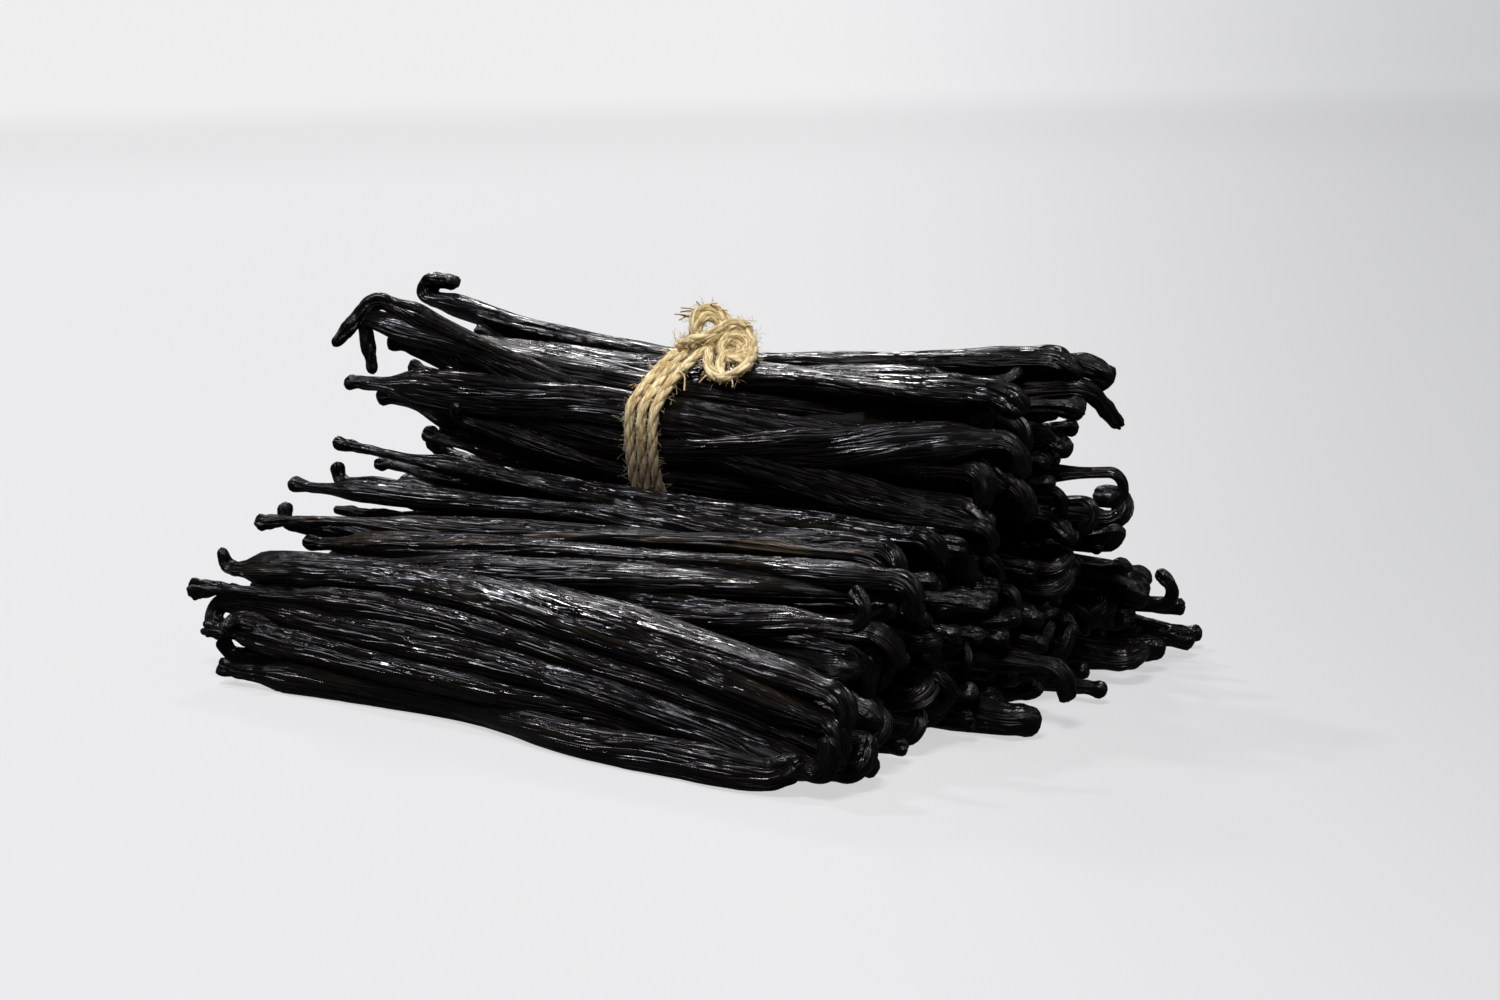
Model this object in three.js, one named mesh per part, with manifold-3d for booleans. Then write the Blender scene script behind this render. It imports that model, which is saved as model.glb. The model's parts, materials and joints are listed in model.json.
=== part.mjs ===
// A heap of cured vanilla pods with a twine-tied bundle of pods lying on top of it.
// Millimetres, +Z up. X runs along the pods, the twine crosses X = 0, and the heap rests on Z = 0.
import * as THREE from "three";
import { mergeVertices } from "three/addons/utils/BufferGeometryUtils.js";
import Module from "manifold-3d";

// ---- driving dimensions ----

// The tied bundle where the twine grips it: the centre (y, z) and the radius over the pods.
const WAIST = { y: -1.6, z: 53.4, r: 17.6 };
// How the bundle fans out: the centre and half-sizes of its section near each end, and its twist.
const FAN_LEFT = { x: -84, y: -9, z: 65, half: [25, 18] };
const FAN_RIGHT = { x: 90, y: 8, z: 57.5, half: [27, 17.5] };
const TWIST_DEG = 24;
// The unnamed pods of the bundle: distance from its middle, how many, and the first one's angle.
const BUNDLE_RINGS = [
  { rho: 14.4, count: 2, first: 250, step: 30 },
  { rho: 14.4, count: 2, first: 342, step: 30 },
  { rho: 8.8, count: 8, first: 20, step: 45 },
  { rho: 3.0, count: 3, first: 40, step: 120 },
];

// The heap: half-widths at heights 0, 6, 12 ... 42, in front (-Y) and behind (+Y).
const HEAP_STEP = 6;
const HEAP_FRONT = [71, 71, 70, 67, 61, 52, 34, 26];
const HEAP_BACK = [72, 72, 68, 57, 50, 45, 37, 26];
const LAYERS = 7;
const LAYER_PITCH = 5.75;
const LAYER_FIRST = 3.2;
const POD_PITCH = 6.75;
const FACE_INSET = 4.5; // room for the named pods of the front slope

// Pods.
const POD_RADIUS = [2.9, 3.6];
const FLAT = 0.92; // thickness and width of a pod's section, against its mean radius
const WIDE = 1.06;
const CLEAR = 0.35; // gap between the bundle, the heap and the twine
const APART = 1.1; // room that settling leaves between the bundle's pods and the heap's

// A tip beyond the pod's body: straight lead, bend in degrees on a radius, straight tail, the
// radii of the neck and of the end, and the length over which the body thins to the neck.
const TIPS = {
  KNOB: { lead: 9, turn: 18, bend: 20, tail: 2, neck: 1.45, end: 2.1, taper: 16 },
  BUTTON: { lead: 4, turn: 14, bend: 14, tail: 1, neck: 1.5, end: 1.9, taper: 12 },
  UPRIGHT: { lead: 1, turn: 80, bend: 2.6, tail: 1.5, neck: 1.8, end: 1.8, taper: 9 },
  HOOK: { lead: 4, turn: 135, bend: 3, tail: 2, neck: 1.4, end: 1.7, taper: 14 },
  FOLD: { lead: 2, turn: 95, bend: 3.8, tail: 2, neck: 2.4, end: 2.2, taper: 10 },
  DROOP: { lead: 2, turn: 82, bend: 4, tail: 11, neck: 1.9, end: 1.3, taper: 10 },
  HANG: { lead: 1, turn: 112, bend: 2.6, tail: 9.5, neck: 1.6, end: 1.5, taper: 8 },
  POINT: { lead: 12, turn: 14, bend: 25, tail: 3, neck: 1.4, end: 1, taper: 26 },
  NECK: { lead: 16, turn: 12, bend: 30, tail: 3, neck: 1.4, end: 2, taper: 18 },
  CURL: { lead: 1.5, turn: 170, bend: 2.7, tail: 4, neck: 2.1, end: 2.2, taper: 6 },
  BLUNT: { lead: 1, turn: 35, bend: 8, tail: 2, neck: 2.8, end: 2.4, taper: 10 },
  PADDLE: { lead: 5, turn: 10, bend: 30, tail: 5, neck: 2, end: 2.9, taper: 8 },
};
// What the unnamed pods have at each end: stalks on the left, flower ends on the right.
const LEFT_TIPS = ["KNOB", "BUTTON", "BUTTON", "BUTTON", "BUTTON", "POINT", "UPRIGHT", "UPRIGHT"];
const RIGHT_TIPS = ["BLUNT", "BLUNT", "BLUNT", "BUTTON", "BUTTON", "FOLD", "FOLD", "KNOB", "HOOK", "CURL"];

// The pods that are laid by hand: radius, x of the left tip, (y, z) there, (y, z) at the middle,
// (y, z) at the right tip, x of the right tip, and each tip with the direction it bends to
// (degrees in the YZ plane: 90 is up, 180 is to the front).
const TIED_PODS = [
  [3.6, -89.5, [1.5, 79.8], [1, 68.6], [15, 74], 91, "CURL", 85, "BLUNT", -80],
  [3.3, -88, [-18.5, 82.5], [-16.3, 57], [-14, 42], 88, "DROOP", -125, "HOOK", -60],
  [2.6, -88, [-20.5, 77.5], [-10.5, 64.8], [2, 62], 86, "HANG", -90, "FOLD", -100],
  [3.7, -83.5, [-31, 63], [-16.5, 59.5], [-12, 53], 86, "BUTTON", 200, "FOLD", -90],
  [4, -82, [-21, 58.5], [-16.6, 51.5], [-11.5, 60.5], 93, "BUTTON", 200, "FOLD", -80],
  [3.4, -76, [-10, 71], [-5.5, 67.6], [-7, 69], 90, "UPRIGHT", 200, "BLUNT", -70],
  [3.5, -76, [8, 74], [7.2, 67], [15, 75], 90, "KNOB", 60, "BLUNT", -60],
  [3.8, -70, [15, 68], [11.3, 62], [22, 72.5], 94, "UPRIGHT", 20, "BLUNT", -80],
  [2.8, -72, [6, 64], [4, 60], [15, 68.5], 95, "POINT", 90, "DROOP", -40],
  [3.7, -72, [0, 66], [-3.2, 60.9], [6, 66], 97, "BUTTON", 90, "PADDLE", -120],
  [2.2, -86, [-13, 70.5], [-8.6, 55.5], [-4, 52], 84, "BUTTON", 180, "BLUNT", -90],
  [3, -72, [8, 50], [8.5, 43], [26, 48.8], 96, "KNOB", 90, "HOOK", -80],
  [3.2, -54, [-24.5, 55.5], [-15.2, 44.6], [-12, 45], 86, "UPRIGHT", 120, "BLUNT", -90],
];
const FACE_PODS = [
  [2.9, -84, [-34, 49], [-24.5, 41.5], [-26, 42], 82, "KNOB", 170, "FOLD", -60],
  [2.7, -86.5, [-32.5, 38.8], [-28.5, 36.5], [-20, 33], 80, "UPRIGHT", 90, "HOOK", -80],
  [3.1, -90, [-44, 39], [-33.5, 39], [-36, 40], 81, "BUTTON", 150, "FOLD", -100],
  [2.6, -88, [-56, 33], [-43.5, 36.8], [-36, 39], 78, "NECK", 185, "BLUNT", -60],
  [2.9, -74, [-54, 29], [-50, 33.8], [-44, 37], 90, "BUTTON", 160, "FOLD", -90],
  [3.1, -64, [-61, 27], [-57, 30.6], [-38, 33], 102, "POINT", 180, "POINT", -60],
  [4.2, -88, [-67.5, 23.8], [-64.5, 25], [-72.5, 13], 92, "UPRIGHT", 100, "FOLD", -90],
  [2.8, -93, [-72, 19.5], [-68.5, 19.5], [-71.5, 8.5], 90, "NECK", 190, "HOOK", -30],
  [3.1, -89, [-69.5, 16], [-71, 14], [-73, 4.5], 90, "CURL", 250, "FOLD", 100],
  [3.2, -86, [-70.5, 10.5], [-73, 8.2], [-66, 4], 92, "CURL", 170, "FOLD", 60],
  [3.4, -66, [-57, 25], [-61, 26.5], [-70, 18.5], 92, "POINT", 180, "FOLD", -90],
  [3.2, -66, [-53, 27], [-55, 25.5], [-58.5, 30.5], 88, "POINT", 180, "HOOK", 80],
];
// Pods inside the heap whose right ends stand out at its back corner.
const SIDE_PODS = [
  [2.8, -74, [26, 41], [25, 37.2], [24, 42.5], 90, "POINT", 180, "HOOK", -100],
  [3.6, -75, [-13, 45.5], [-9, 31.4], [-9, 36], 84, "BLUNT", 100, "FOLD", -60],
  [2.9, -78, [30, 33], [28.5, 30.5], [25.5, 34.5], 95, "BUTTON", 160, "KNOB", 60],
  [3, -76, [38, 27], [37, 25.5], [34, 26], 92, "KNOB", 170, "BUTTON", 85],
  [3.1, -78, [46, 20], [45, 19.3], [41, 20], 92, "UPRIGHT", 160, "BLUNT", -60],
  [2.7, -76, [57, 13], [56, 13], [51, 15], 95, "KNOB", 170, "HOOK", 100],
  [3.4, -78, [66, 4.5], [66, 4.5], [61, 5.6], 92, "BUTTON", 170, "BLUNT", -30],
  [2.6, -76, [64, 11], [62.5, 11], [60.5, 11.6], 91, "POINT", 170, "BUTTON", 60],
  [3.3, -78, [50, 4], [49, 3.9], [45.5, 5.6], 93, "BUTTON", 170, "BLUNT", 0],
  [3.4, -78, [36, 4], [35, 3.9], [33.5, 5], 94, "KNOB", 170, "FOLD", 10],
  [2.6, -80, [18, 3], [18, 3.1], [16, 3.2], 96, "KNOB", 170, "BUTTON", 0],
  [4, -78, [-10, 13], [-9, 11.5], [-6, 14], 101, "KNOB", 170, "FOLD", -80],
  [3.6, -80, [-20, 4], [-19, 3.9], [-17, 4.5], 99, "UPRIGHT", 100, "BLUNT", 0],
];

// The twine: strand radius, turns round the bundle and their pitch along it.
const TWINE = { r: 1.5, turns: 3, pitch: 3.25, perTurn: 20, sides: 5 };
// Its knot: a wrap over the turns, a loop lying on top of the bundle, and two short free ends.
const KNOT_WRAP = [
  [-4, 1, 75.2],
  [0, -1.5, 76],
  [5, -3.5, 76],
  [9, -5, 75],
];
const KNOT_LOOP = [
  [4.5, -3, 73.4],
  [9.5, -3, 78.2],
  [17, -3, 79.6],
  [21.5, -5, 76],
  [21.5, -10.5, 72],
  [16.5, -13.8, 69.6],
  [11.5, -10.5, 72.2],
  [9, -5, 75],
];
const KNOT_ENDS = [
  [[9, -5, 75], [4.5, -5, 78], [1.5, -5, 81.5], [-0.5, -5.5, 84]],
  [[9, -5, 75], [8.5, -3, 79], [9, -1, 82], [11.5, 1, 84]],
];

// Stations along X where the pods' sections are settled.
const STATIONS = 23;
const STATION_STEP = 8;
const STATION_FIRST = -88;
const SEED = 11;
const ROUNDS = 90;

// How finely each pod is cut. A pod that shows runs the whole length, and that is one whose middle
// lies no deeper than SHOW_DEPTH in the heap's core. Of the others only the tips show, and one in
// so many is made at each end, spread evenly through the heap.
const SHOW_DEPTH = 3.2;
const FACE_CUT = { sides: 5, bodyStep: 58, tipSteps: 1 };
const STUB_CUT = { sides: 4, tipSteps: 0.6, oneInLeft: 2, oneInRight: 2 };

// The cores that fill what no eye reaches.
const HEAP_CORE = {
  x: [-60, 77],
  outline: [ // y, z from the back of the heap over its top to the front, just inside the outer pods
    [71, 0], [69, 5], [63, 9], [55, 14], [50.5, 21], [46, 26.5], [38, 31], [33, 34.5], [18, 34.5],
    [11, 30], [5, 27.5], [-3, 27], [-9, 29.5], [-16, 31], [-21, 35.5], [-33, 37], [-43, 34.5],
    [-50, 30.5], [-57, 27.5], [-63, 24], [-67, 19], [-69.5, 13], [-71, 7], [-71, 0],
  ],
};
const BUNDLE_CORE = { x: [-44, 52], share: 0.76, sides: 10, steps: 6 };

const wasm = await Module();
wasm.setup();

// ---- small helpers ----

const radians = THREE.MathUtils.degToRad;
const smooth = (t) => {
  const c = THREE.MathUtils.clamp(t, 0, 1);
  return c * c * (3 - 2 * c);
};

// A seeded random draw between 0 and 1.
function seeded(seed) {
  let a = seed | 0;
  return () => {
    a = (a + 0x6d2b79f5) | 0;
    let t = Math.imul(a ^ (a >>> 15), 1 | a);
    t = (t + Math.imul(t ^ (t >>> 7), 61 | t)) ^ t;
    return ((t ^ (t >>> 14)) >>> 0) / 4294967296;
  };
}

const stationX = (s) => STATION_FIRST + STATION_STEP * s;

// The parabola through a at xa, m at 0 and b at xb.
function parabola(x, xa, a, m, xb, b) {
  return (
    (a * x * (x - xb)) / (xa * (xa - xb)) +
    (m * (x - xa) * (x - xb)) / (xa * xb) +
    (b * (x - xa) * x) / ((xb - xa) * xb)
  );
}

// From a at xa through m at 0 to b at xb, straight away from the tie and rounded over it.
function pinched(x, xa, a, m, xb, b) {
  const e = 0.3;
  const t = x < 0 ? x / xa : x / xb;
  const g = (Math.sqrt(t * t + e * e) - e) / (Math.sqrt(1 + e * e) - e);
  return m + ((x < 0 ? a : b) - m) * g;
}

// How far a tip reaches along its pod.
function reach(kind) {
  const { lead, turn, bend, tail, end } = TIPS[kind];
  const a = radians(Math.min(turn, 90));
  return lead + bend * Math.sin(a) + Math.max(0, tail * Math.cos(radians(turn))) + end;
}

// ---- laying the pods ----

function layPod(group, row, fixed, inside = false) {
  const [r, xa, a, m, b, xb, tipLeft, rollLeft, tipRight, rollRight] = row;
  const pod = { group, fixed, inside, r, tipLeft, rollLeft, tipRight, rollRight, y: [], z: [] };
  pod.x0 = xa + reach(tipLeft);
  pod.x1 = xb - reach(tipRight);
  for (const [k, list] of [[0, pod.y], [1, pod.z]]) {
    const crosses = (a[k] - m[k]) * (b[k] - m[k]) < 0;
    const curve = group === "tied" && !crosses ? pinched : parabola;
    for (let s = 0; s < STATIONS; s++) list.push(curve(stationX(s), xa, a[k], m[k], xb, b[k]));
  }
  return pod;
}

// The heap's half-width at a height, towards -Y or +Y.
function halfWidth(z, table, inset) {
  const h = THREE.MathUtils.clamp(z, 0, HEAP_STEP * (table.length - 1));
  const i = Math.min(table.length - 2, Math.floor(h / HEAP_STEP));
  const u = h / HEAP_STEP - i;
  return table[i] * (1 - u) + table[i + 1] * u - inset;
}

function layAll() {
  const draw = seeded(SEED);
  const span = (lo, hi) => lo + (hi - lo) * draw();
  const kind = (kinds) => kinds[Math.floor(draw() * kinds.length)];
  const pods = [
    ...TIED_PODS.map((row) => layPod("tied", row, true)),
    ...FACE_PODS.map((row) => layPod("loose", row, true)),
    ...SIDE_PODS.map((row) => layPod("loose", row, true, true)),
  ];
  for (const ring of BUNDLE_RINGS) {
    for (let i = 0; i < ring.count; i++) {
      const angle = radians(ring.first + ring.step * i + span(-5, 5));
      const r = span(2.85, 3.25);
      const share = ring.rho / WAIST.r;
      const at = (c, half, turn) => [
        c.y + share * half[0] * Math.cos(angle + radians(turn)),
        c.z + share * half[1] * Math.sin(angle + radians(turn)),
      ];
      const a = at(FAN_LEFT, FAN_LEFT.half, -TWIST_DEG);
      const m = at(WAIST, [WAIST.r, WAIST.r], 0);
      const b = at(FAN_RIGHT, FAN_RIGHT.half, TWIST_DEG);
      const left = kind(LEFT_TIPS);
      const right = kind(RIGHT_TIPS);
      const xa = span(-75, -64);
      const xb = span(80, 89);
      const rollLeft = span(60, 300);
      const rollRight = span(-110, 60);
      pods.push(layPod("tied", [r, xa, a, m, b, xb, left, rollLeft, right, rollRight], false));
    }
  }
  for (let k = 0; k < LAYERS; k++) {
    const z = LAYER_FIRST + LAYER_PITCH * k;
    const front = halfWidth(z, HEAP_FRONT, z > HEAP_STEP ? FACE_INSET : 0);
    const back = halfWidth(z, HEAP_BACK, 0);
    const count = Math.floor((front + back) / POD_PITCH);
    for (let i = 0; i <= count; i++) {
      const u = (i + (k % 2 ? 0.5 : 0)) / count;
      const y = -front + (front + back) * u;
      if (u > 1 || Math.hypot(y - WAIST.y, z - WAIST.z) < WAIST.r + 3.2) continue;
      if ([...FACE_PODS, ...SIDE_PODS].some(([, , , m]) => Math.hypot(y - m[0], z - m[1]) < 5.2)) continue;
      const r = span(POD_RADIUS[0], POD_RADIUS[1]);
      const a = [y * 1.05 + span(-5, 5), Math.max(r, z + 8 * (k / 6) ** 2 + span(-3, 3))];
      const b = [y * 0.98 + 1 + span(-5, 5), Math.max(r, z * 1.02 + span(-3, 3))];
      const left = kind(LEFT_TIPS);
      const right = kind(RIGHT_TIPS);
      const low = z < 10;
      const xa = span(-85, -75);
      const xb = span(80, 90);
      const rollLeft = low ? span(60, 200) : span(60, 260);
      const rollRight = low ? span(0, 80) : span(-100, 60);
      pods.push(layPod("loose", [r, xa, a, [y, z], b, xb, left, rollLeft, right, rollRight], false));
    }
  }
  settle(pods);
  return pods;
}

// Pushes overlapping pods apart at every station, keeps the tie tight and the heap under it,
// and smooths each pod along its length. Hand-laid pods stay where they are.
function settle(pods) {
  const n = pods.length;
  for (let round = 0; round < ROUNDS; round++) {
    for (let s = 0; s < STATIONS; s++) {
      const dy = new Float64Array(n);
      const dz = new Float64Array(n);
      for (let i = 0; i < n; i++) {
        for (let j = i + 1; j < n; j++) {
          const p = pods[i];
          const q = pods[j];
          if (p.fixed && q.fixed) continue;
          const y = p.y[s] - q.y[s];
          const z = p.z[s] - q.z[s];
          const room = p.r + q.r + (p.group === q.group ? 0 : APART);
          const d = Math.sqrt(y * y + z * z) + 1e-9;
          if (d >= room) continue;
          const push = ((room - d) / d) * 0.55;
          const mine = p.fixed ? 0 : q.fixed ? 1 : 0.5;
          const theirs = q.fixed ? 0 : p.fixed ? 1 : 0.5;
          dy[i] += mine * push * y;
          dz[i] += mine * push * z;
          dy[j] -= theirs * push * y;
          dz[j] -= theirs * push * z;
        }
      }
      const x = stationX(s);
      const grip = Math.exp(-((x / 16) ** 2));
      const under = Math.exp(-((x / 26) ** 2));
      pods.forEach((p, i) => {
        if (p.fixed) return;
        p.home ??= { y: [...p.y], z: [...p.z] };
        p.y[s] += dy[i];
        p.z[s] += dz[i];
        p.y[s] += 0.02 * (p.home.y[s] - p.y[s]);
        p.z[s] += 0.02 * (p.home.z[s] - p.z[s]) - 0.03;
        const y = p.y[s] - WAIST.y;
        const z = p.z[s] - WAIST.z;
        const d = Math.sqrt(y * y + z * z) + 1e-9;
        let want = d;
        if (p.group === "tied" && grip >= 0.3) want = Math.min(d, WAIST.r - p.r + 6 * (1 - grip));
        if (p.group === "loose" && under >= 0.05)
          want = Math.max(d, WAIST.r + p.r + 0.3 + 3.7 * under);
        p.y[s] = WAIST.y + (y * want) / d;
        p.z[s] = WAIST.z + (z * want) / d;
      });
    }
    for (const p of pods) {
      if (p.fixed) continue;
      for (const list of [p.y, p.z]) {
        const was = [...list];
        for (let s = 1; s < STATIONS - 1; s++)
          list[s] += 0.25 * (was[s - 1] + was[s + 1] - 2 * was[s]);
      }
      for (let s = 0; s < STATIONS; s++) p.z[s] = Math.max(p.z[s], p.r);
    }
  }
}

// ---- one pod's centre line ----

// A value between stations, on the smooth curve through them.
function between(list, x) {
  const u = (x - STATION_FIRST) / STATION_STEP;
  const i = THREE.MathUtils.clamp(Math.floor(u), 0, STATIONS - 2);
  const t = u - i;
  const p1 = list[i];
  const p2 = list[i + 1];
  const p0 = i > 0 ? list[i - 1] : 2 * p1 - p2;
  const p3 = i + 2 < STATIONS ? list[i + 2] : 2 * p2 - p1;
  return (
    0.5 *
    (2 * p1 +
      (p2 - p0) * t +
      (2 * p0 - 5 * p1 + 4 * p2 - p3) * t * t +
      (3 * p1 - p0 - 3 * p2 + p3) * t * t * t)
  );
}

const bodyPoint = (pod, x) => new THREE.Vector3(x, between(pod.y, x), between(pod.z, x));

// Points and radii beyond the body's end, from the end outwards.
function tipRings(end, along, roll, kind, steps) {
  const { lead, turn, bend, tail, neck, end: last } = TIPS[kind];
  const side = new THREE.Vector3(0, Math.cos(radians(roll)), Math.sin(radians(roll)));
  side.addScaledVector(along, -side.dot(along)).normalize();
  const arc = radians(turn) * bend;
  const length = lead + arc + tail;
  // The rings: the lead's end, the bend in equal steps, the tail and its swelling.
  const marks = [];
  const bends = Math.max(1, Math.round((steps * turn) / 90));
  if (lead > 3) marks.push(lead);
  for (let i = 1; i <= bends; i++) marks.push(lead + (arc * i) / bends);
  if (tail > 3 || turn < 30) marks[marks.length - 1] -= 1;
  marks.push(length);
  return marks.map((s) => {
    const a = THREE.MathUtils.clamp((s - lead) / bend, 0, radians(turn));
    const point = end
      .clone()
      .addScaledVector(along, Math.min(s, lead) + bend * Math.sin(a))
      .addScaledVector(side, bend * (1 - Math.cos(a)));
    const rest = Math.max(0, s - lead - arc);
    point.addScaledVector(along, rest * Math.cos(a)).addScaledVector(side, rest * Math.sin(a));
    return { point, r: neck + (last - neck) * smooth((s / length - 0.72) / 0.28) };
  });
}

// The radius of the body at x, thinner towards both necks.
function bodyRadius(pod, x) {
  const left = TIPS[pod.tipLeft];
  const right = TIPS[pod.tipRight];
  const u = smooth((x - pod.x0) / left.taper);
  const v = smooth((pod.x1 - x) / right.taper);
  return x < 0 ? left.neck + (pod.r - left.neck) * u : right.neck + (pod.r - right.neck) * v;
}

// The rings of a pod from x = from to x = to, with its tips where the range takes them in.
function podRings(pod, from, to, cut) {
  const rings = [];
  const dir = (x, dx) => bodyPoint(pod, x + dx).sub(bodyPoint(pod, x)).normalize();
  if (from <= pod.x0)
    rings.push(
      ...tipRings(bodyPoint(pod, pod.x0), dir(pod.x0, -2), pod.rollLeft, pod.tipLeft, cut.tipSteps).reverse(),
    );
  const lo = Math.max(from, pod.x0);
  const hi = Math.min(to, pod.x1);
  // A ring falls on X = 0, where the tie pinches the pods.
  const marks = lo < 0 && hi > 0 ? [lo, 0, hi] : [lo, hi];
  const stops = [lo];
  for (let k = 1; k < marks.length; k++) {
    const run = marks[k] - marks[k - 1];
    const steps = Math.max(1, Math.round(run / (cut.bodyStep ?? run)));
    for (let i = 1; i <= steps; i++) stops.push(marks[k - 1] + (run * i) / steps);
  }
  for (const x of stops) rings.push({ point: bodyPoint(pod, x), r: bodyRadius(pod, x) });
  if (to >= pod.x1)
    rings.push(
      ...tipRings(bodyPoint(pod, pod.x1), dir(pod.x1, 2), pod.rollRight, pod.tipRight, cut.tipSteps),
    );
  for (const ring of rings) ring.point.z = Math.max(ring.point.z, ring.r * WIDE);
  return rings;
}

// The direction that a pod's thin side faces: out of the bundle or out of the heap.
function facing(pod) {
  const y = between(pod.y, 0);
  const z = between(pod.z, 0);
  if (pod.group === "tied") return new THREE.Vector3(0, y - WAIST.y, z - WAIST.z).normalize();
  return new THREE.Vector3(0, y ** 3 / 76 ** 4, z ** 3 / 42 ** 4 + 1e-6).normalize();
}

// ---- solids ----

function toSolid(geometry) {
  geometry.deleteAttribute("normal");
  geometry.deleteAttribute("uv");
  const merged = mergeVertices(geometry, 1e-4);
  const index = merged.index.array;
  const kept = [];
  for (let i = 0; i < index.length; i += 3) {
    const [a, b, c] = [index[i], index[i + 1], index[i + 2]];
    if (a !== b && b !== c && c !== a) kept.push(a, b, c);
  }
  return new wasm.Manifold(
    new wasm.Mesh({
      numProp: 3,
      vertProperties: Float32Array.from(merged.attributes.position.array),
      triVerts: Uint32Array.from(kept),
    }),
  );
}

// A lathe-turned pod, as long as its centre line, bent along that line and flattened.
function tube(rings, sides, grow, face, wide, flat) {
  const points = rings.map((ring) => ring.point);
  const first = points[0].clone().sub(points[1]).normalize();
  const last = points.at(-1).clone().sub(points.at(-2)).normalize();
  const ends = rings.map((ring) => ring.r + grow);
  const line = [
    points[0].clone().addScaledVector(first, ends[0] * 0.5),
    ...points,
    points.at(-1).clone().addScaledVector(last, ends.at(-1) * 0.5),
  ];
  const profile = [new THREE.Vector2(0, 0)];
  ends.forEach((r, i) => profile.push(new THREE.Vector2(r, i + 1)));
  profile.push(new THREE.Vector2(0, line.length - 1));
  const lathe = new THREE.LatheGeometry(profile, sides);
  // Frames carried along the line without twisting, from its middle outwards.
  const middle = Math.floor(line.length / 2);
  const tangents = line.map((_, i) => {
    const p = line[Math.max(0, i - 1)];
    const q = line[Math.min(line.length - 1, i + 1)];
    return q.clone().sub(p).normalize();
  });
  const normals = [];
  const carry = (from, i) =>
    from.clone().addScaledVector(tangents[i], -from.dot(tangents[i])).normalize();
  normals[middle] = carry(face, middle);
  for (let i = middle + 1; i < line.length; i++) normals[i] = carry(normals[i - 1], i);
  for (let i = middle - 1; i >= 0; i--) normals[i] = carry(normals[i + 1], i);
  const position = lathe.attributes.position;
  for (let k = 0; k < position.count; k++) {
    const i = Math.round(position.getY(k));
    const across = new THREE.Vector3().crossVectors(tangents[i], normals[i]);
    const p = line[i]
      .clone()
      .addScaledVector(across, position.getX(k) * wide)
      .addScaledVector(normals[i], position.getZ(k) * flat);
    position.setXYZ(k, p.x, p.y, p.z);
  }
  return toSolid(lathe);
}

// A closed skin over sections that all have the same number of corners.
function skin(sections) {
  const n = sections[0].length;
  const place = sections.flat().flatMap((p) => [p.x, p.y, p.z]);
  const index = [];
  for (let s = 0; s + 1 < sections.length; s++)
    for (let i = 0; i < n; i++) {
      const a = s * n + i;
      const b = s * n + ((i + 1) % n);
      index.push(a, b, b + n, a, b + n, a + n);
    }
  const flat = sections[0].map((p) => new THREE.Vector2(p.y, p.z));
  const caps = THREE.ShapeUtils.triangulateShape(flat, []);
  const top = (sections.length - 1) * n;
  for (const [a, b, c] of caps) index.push(c, b, a, top + a, top + b, top + c);
  const geometry = new THREE.BufferGeometry();
  geometry.setAttribute("position", new THREE.Float32BufferAttribute(place, 3));
  geometry.setIndex(index);
  return toSolid(geometry);
}

// The heap's core: flat underneath, with a trough on top that the bundle lies in.
function heapCore() {
  const { x, outline } = HEAP_CORE;
  return skin(x.map((at) => outline.map(([y, z]) => new THREE.Vector3(at, y, z))));
}

// The bundle's core: an oval that opens from the tie towards both ends.
function bundleCore() {
  const { x, share, sides, steps } = BUNDLE_CORE;
  const sections = [];
  for (let i = 0; i <= steps; i++) {
    const at = x[0] + ((x[1] - x[0]) * i) / steps;
    const value = (l, m, r) => pinched(at, FAN_LEFT.x, l, m, FAN_RIGHT.x, r);
    const cy = value(FAN_LEFT.y, WAIST.y, FAN_RIGHT.y);
    const cz = value(FAN_LEFT.z, WAIST.z, FAN_RIGHT.z);
    const ry = share * value(FAN_LEFT.half[0], WAIST.r, FAN_RIGHT.half[0]);
    const rz = share * value(FAN_LEFT.half[1], WAIST.r, FAN_RIGHT.half[1]);
    sections.push(
      Array.from({ length: sides }, (_, k) => {
        const a = (2 * Math.PI * k) / sides;
        return new THREE.Vector3(at, cy + ry * Math.cos(a), cz + rz * Math.sin(a));
      }),
    );
  }
  return skin(sections);
}

// How far the bundle's outside is from the waist's centre in each direction, at x.
function support(tied, x, angle) {
  let most = 0;
  for (const pod of tied) {
    const y = between(pod.y, x) - WAIST.y;
    const z = between(pod.z, x) - WAIST.z;
    most = Math.max(most, y * Math.cos(angle) + z * Math.sin(angle) + pod.r * WIDE);
  }
  return most;
}

// The twine's centre line: turns that lie tight round the bundle.
function twineLine(tied) {
  const { r, turns, pitch, perTurn } = TWINE;
  const points = [];
  const start = radians(82);
  const step = 1e-3;
  for (let i = 0; i <= turns * perTurn; i++) {
    const angle = start + (2 * Math.PI * i) / perTurn;
    const x = pitch * ((i / (turns * perTurn)) * turns - turns / 2);
    const h = support(tied, x, angle) + r + 3 * CLEAR;
    const slope =
      (support(tied, x, angle + step) - support(tied, x, angle - step)) / (2 * step);
    const [c, s] = [Math.cos(angle), Math.sin(angle)];
    points.push(new THREE.Vector3(x, WAIST.y + h * c - slope * s, WAIST.z + h * s + slope * c));
  }
  // The support slope jumps from pod to pod, so the line is eased along the turn.
  for (let pass = 0; pass < 3; pass++) {
    const was = points.map((p) => p.clone());
    for (let i = 1; i + 1 < points.length; i++)
      points[i].addScaledVector(was[i - 1].clone().add(was[i + 1]).addScaledVector(was[i], -2), 0.2);
  }
  return points;
}

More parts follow.
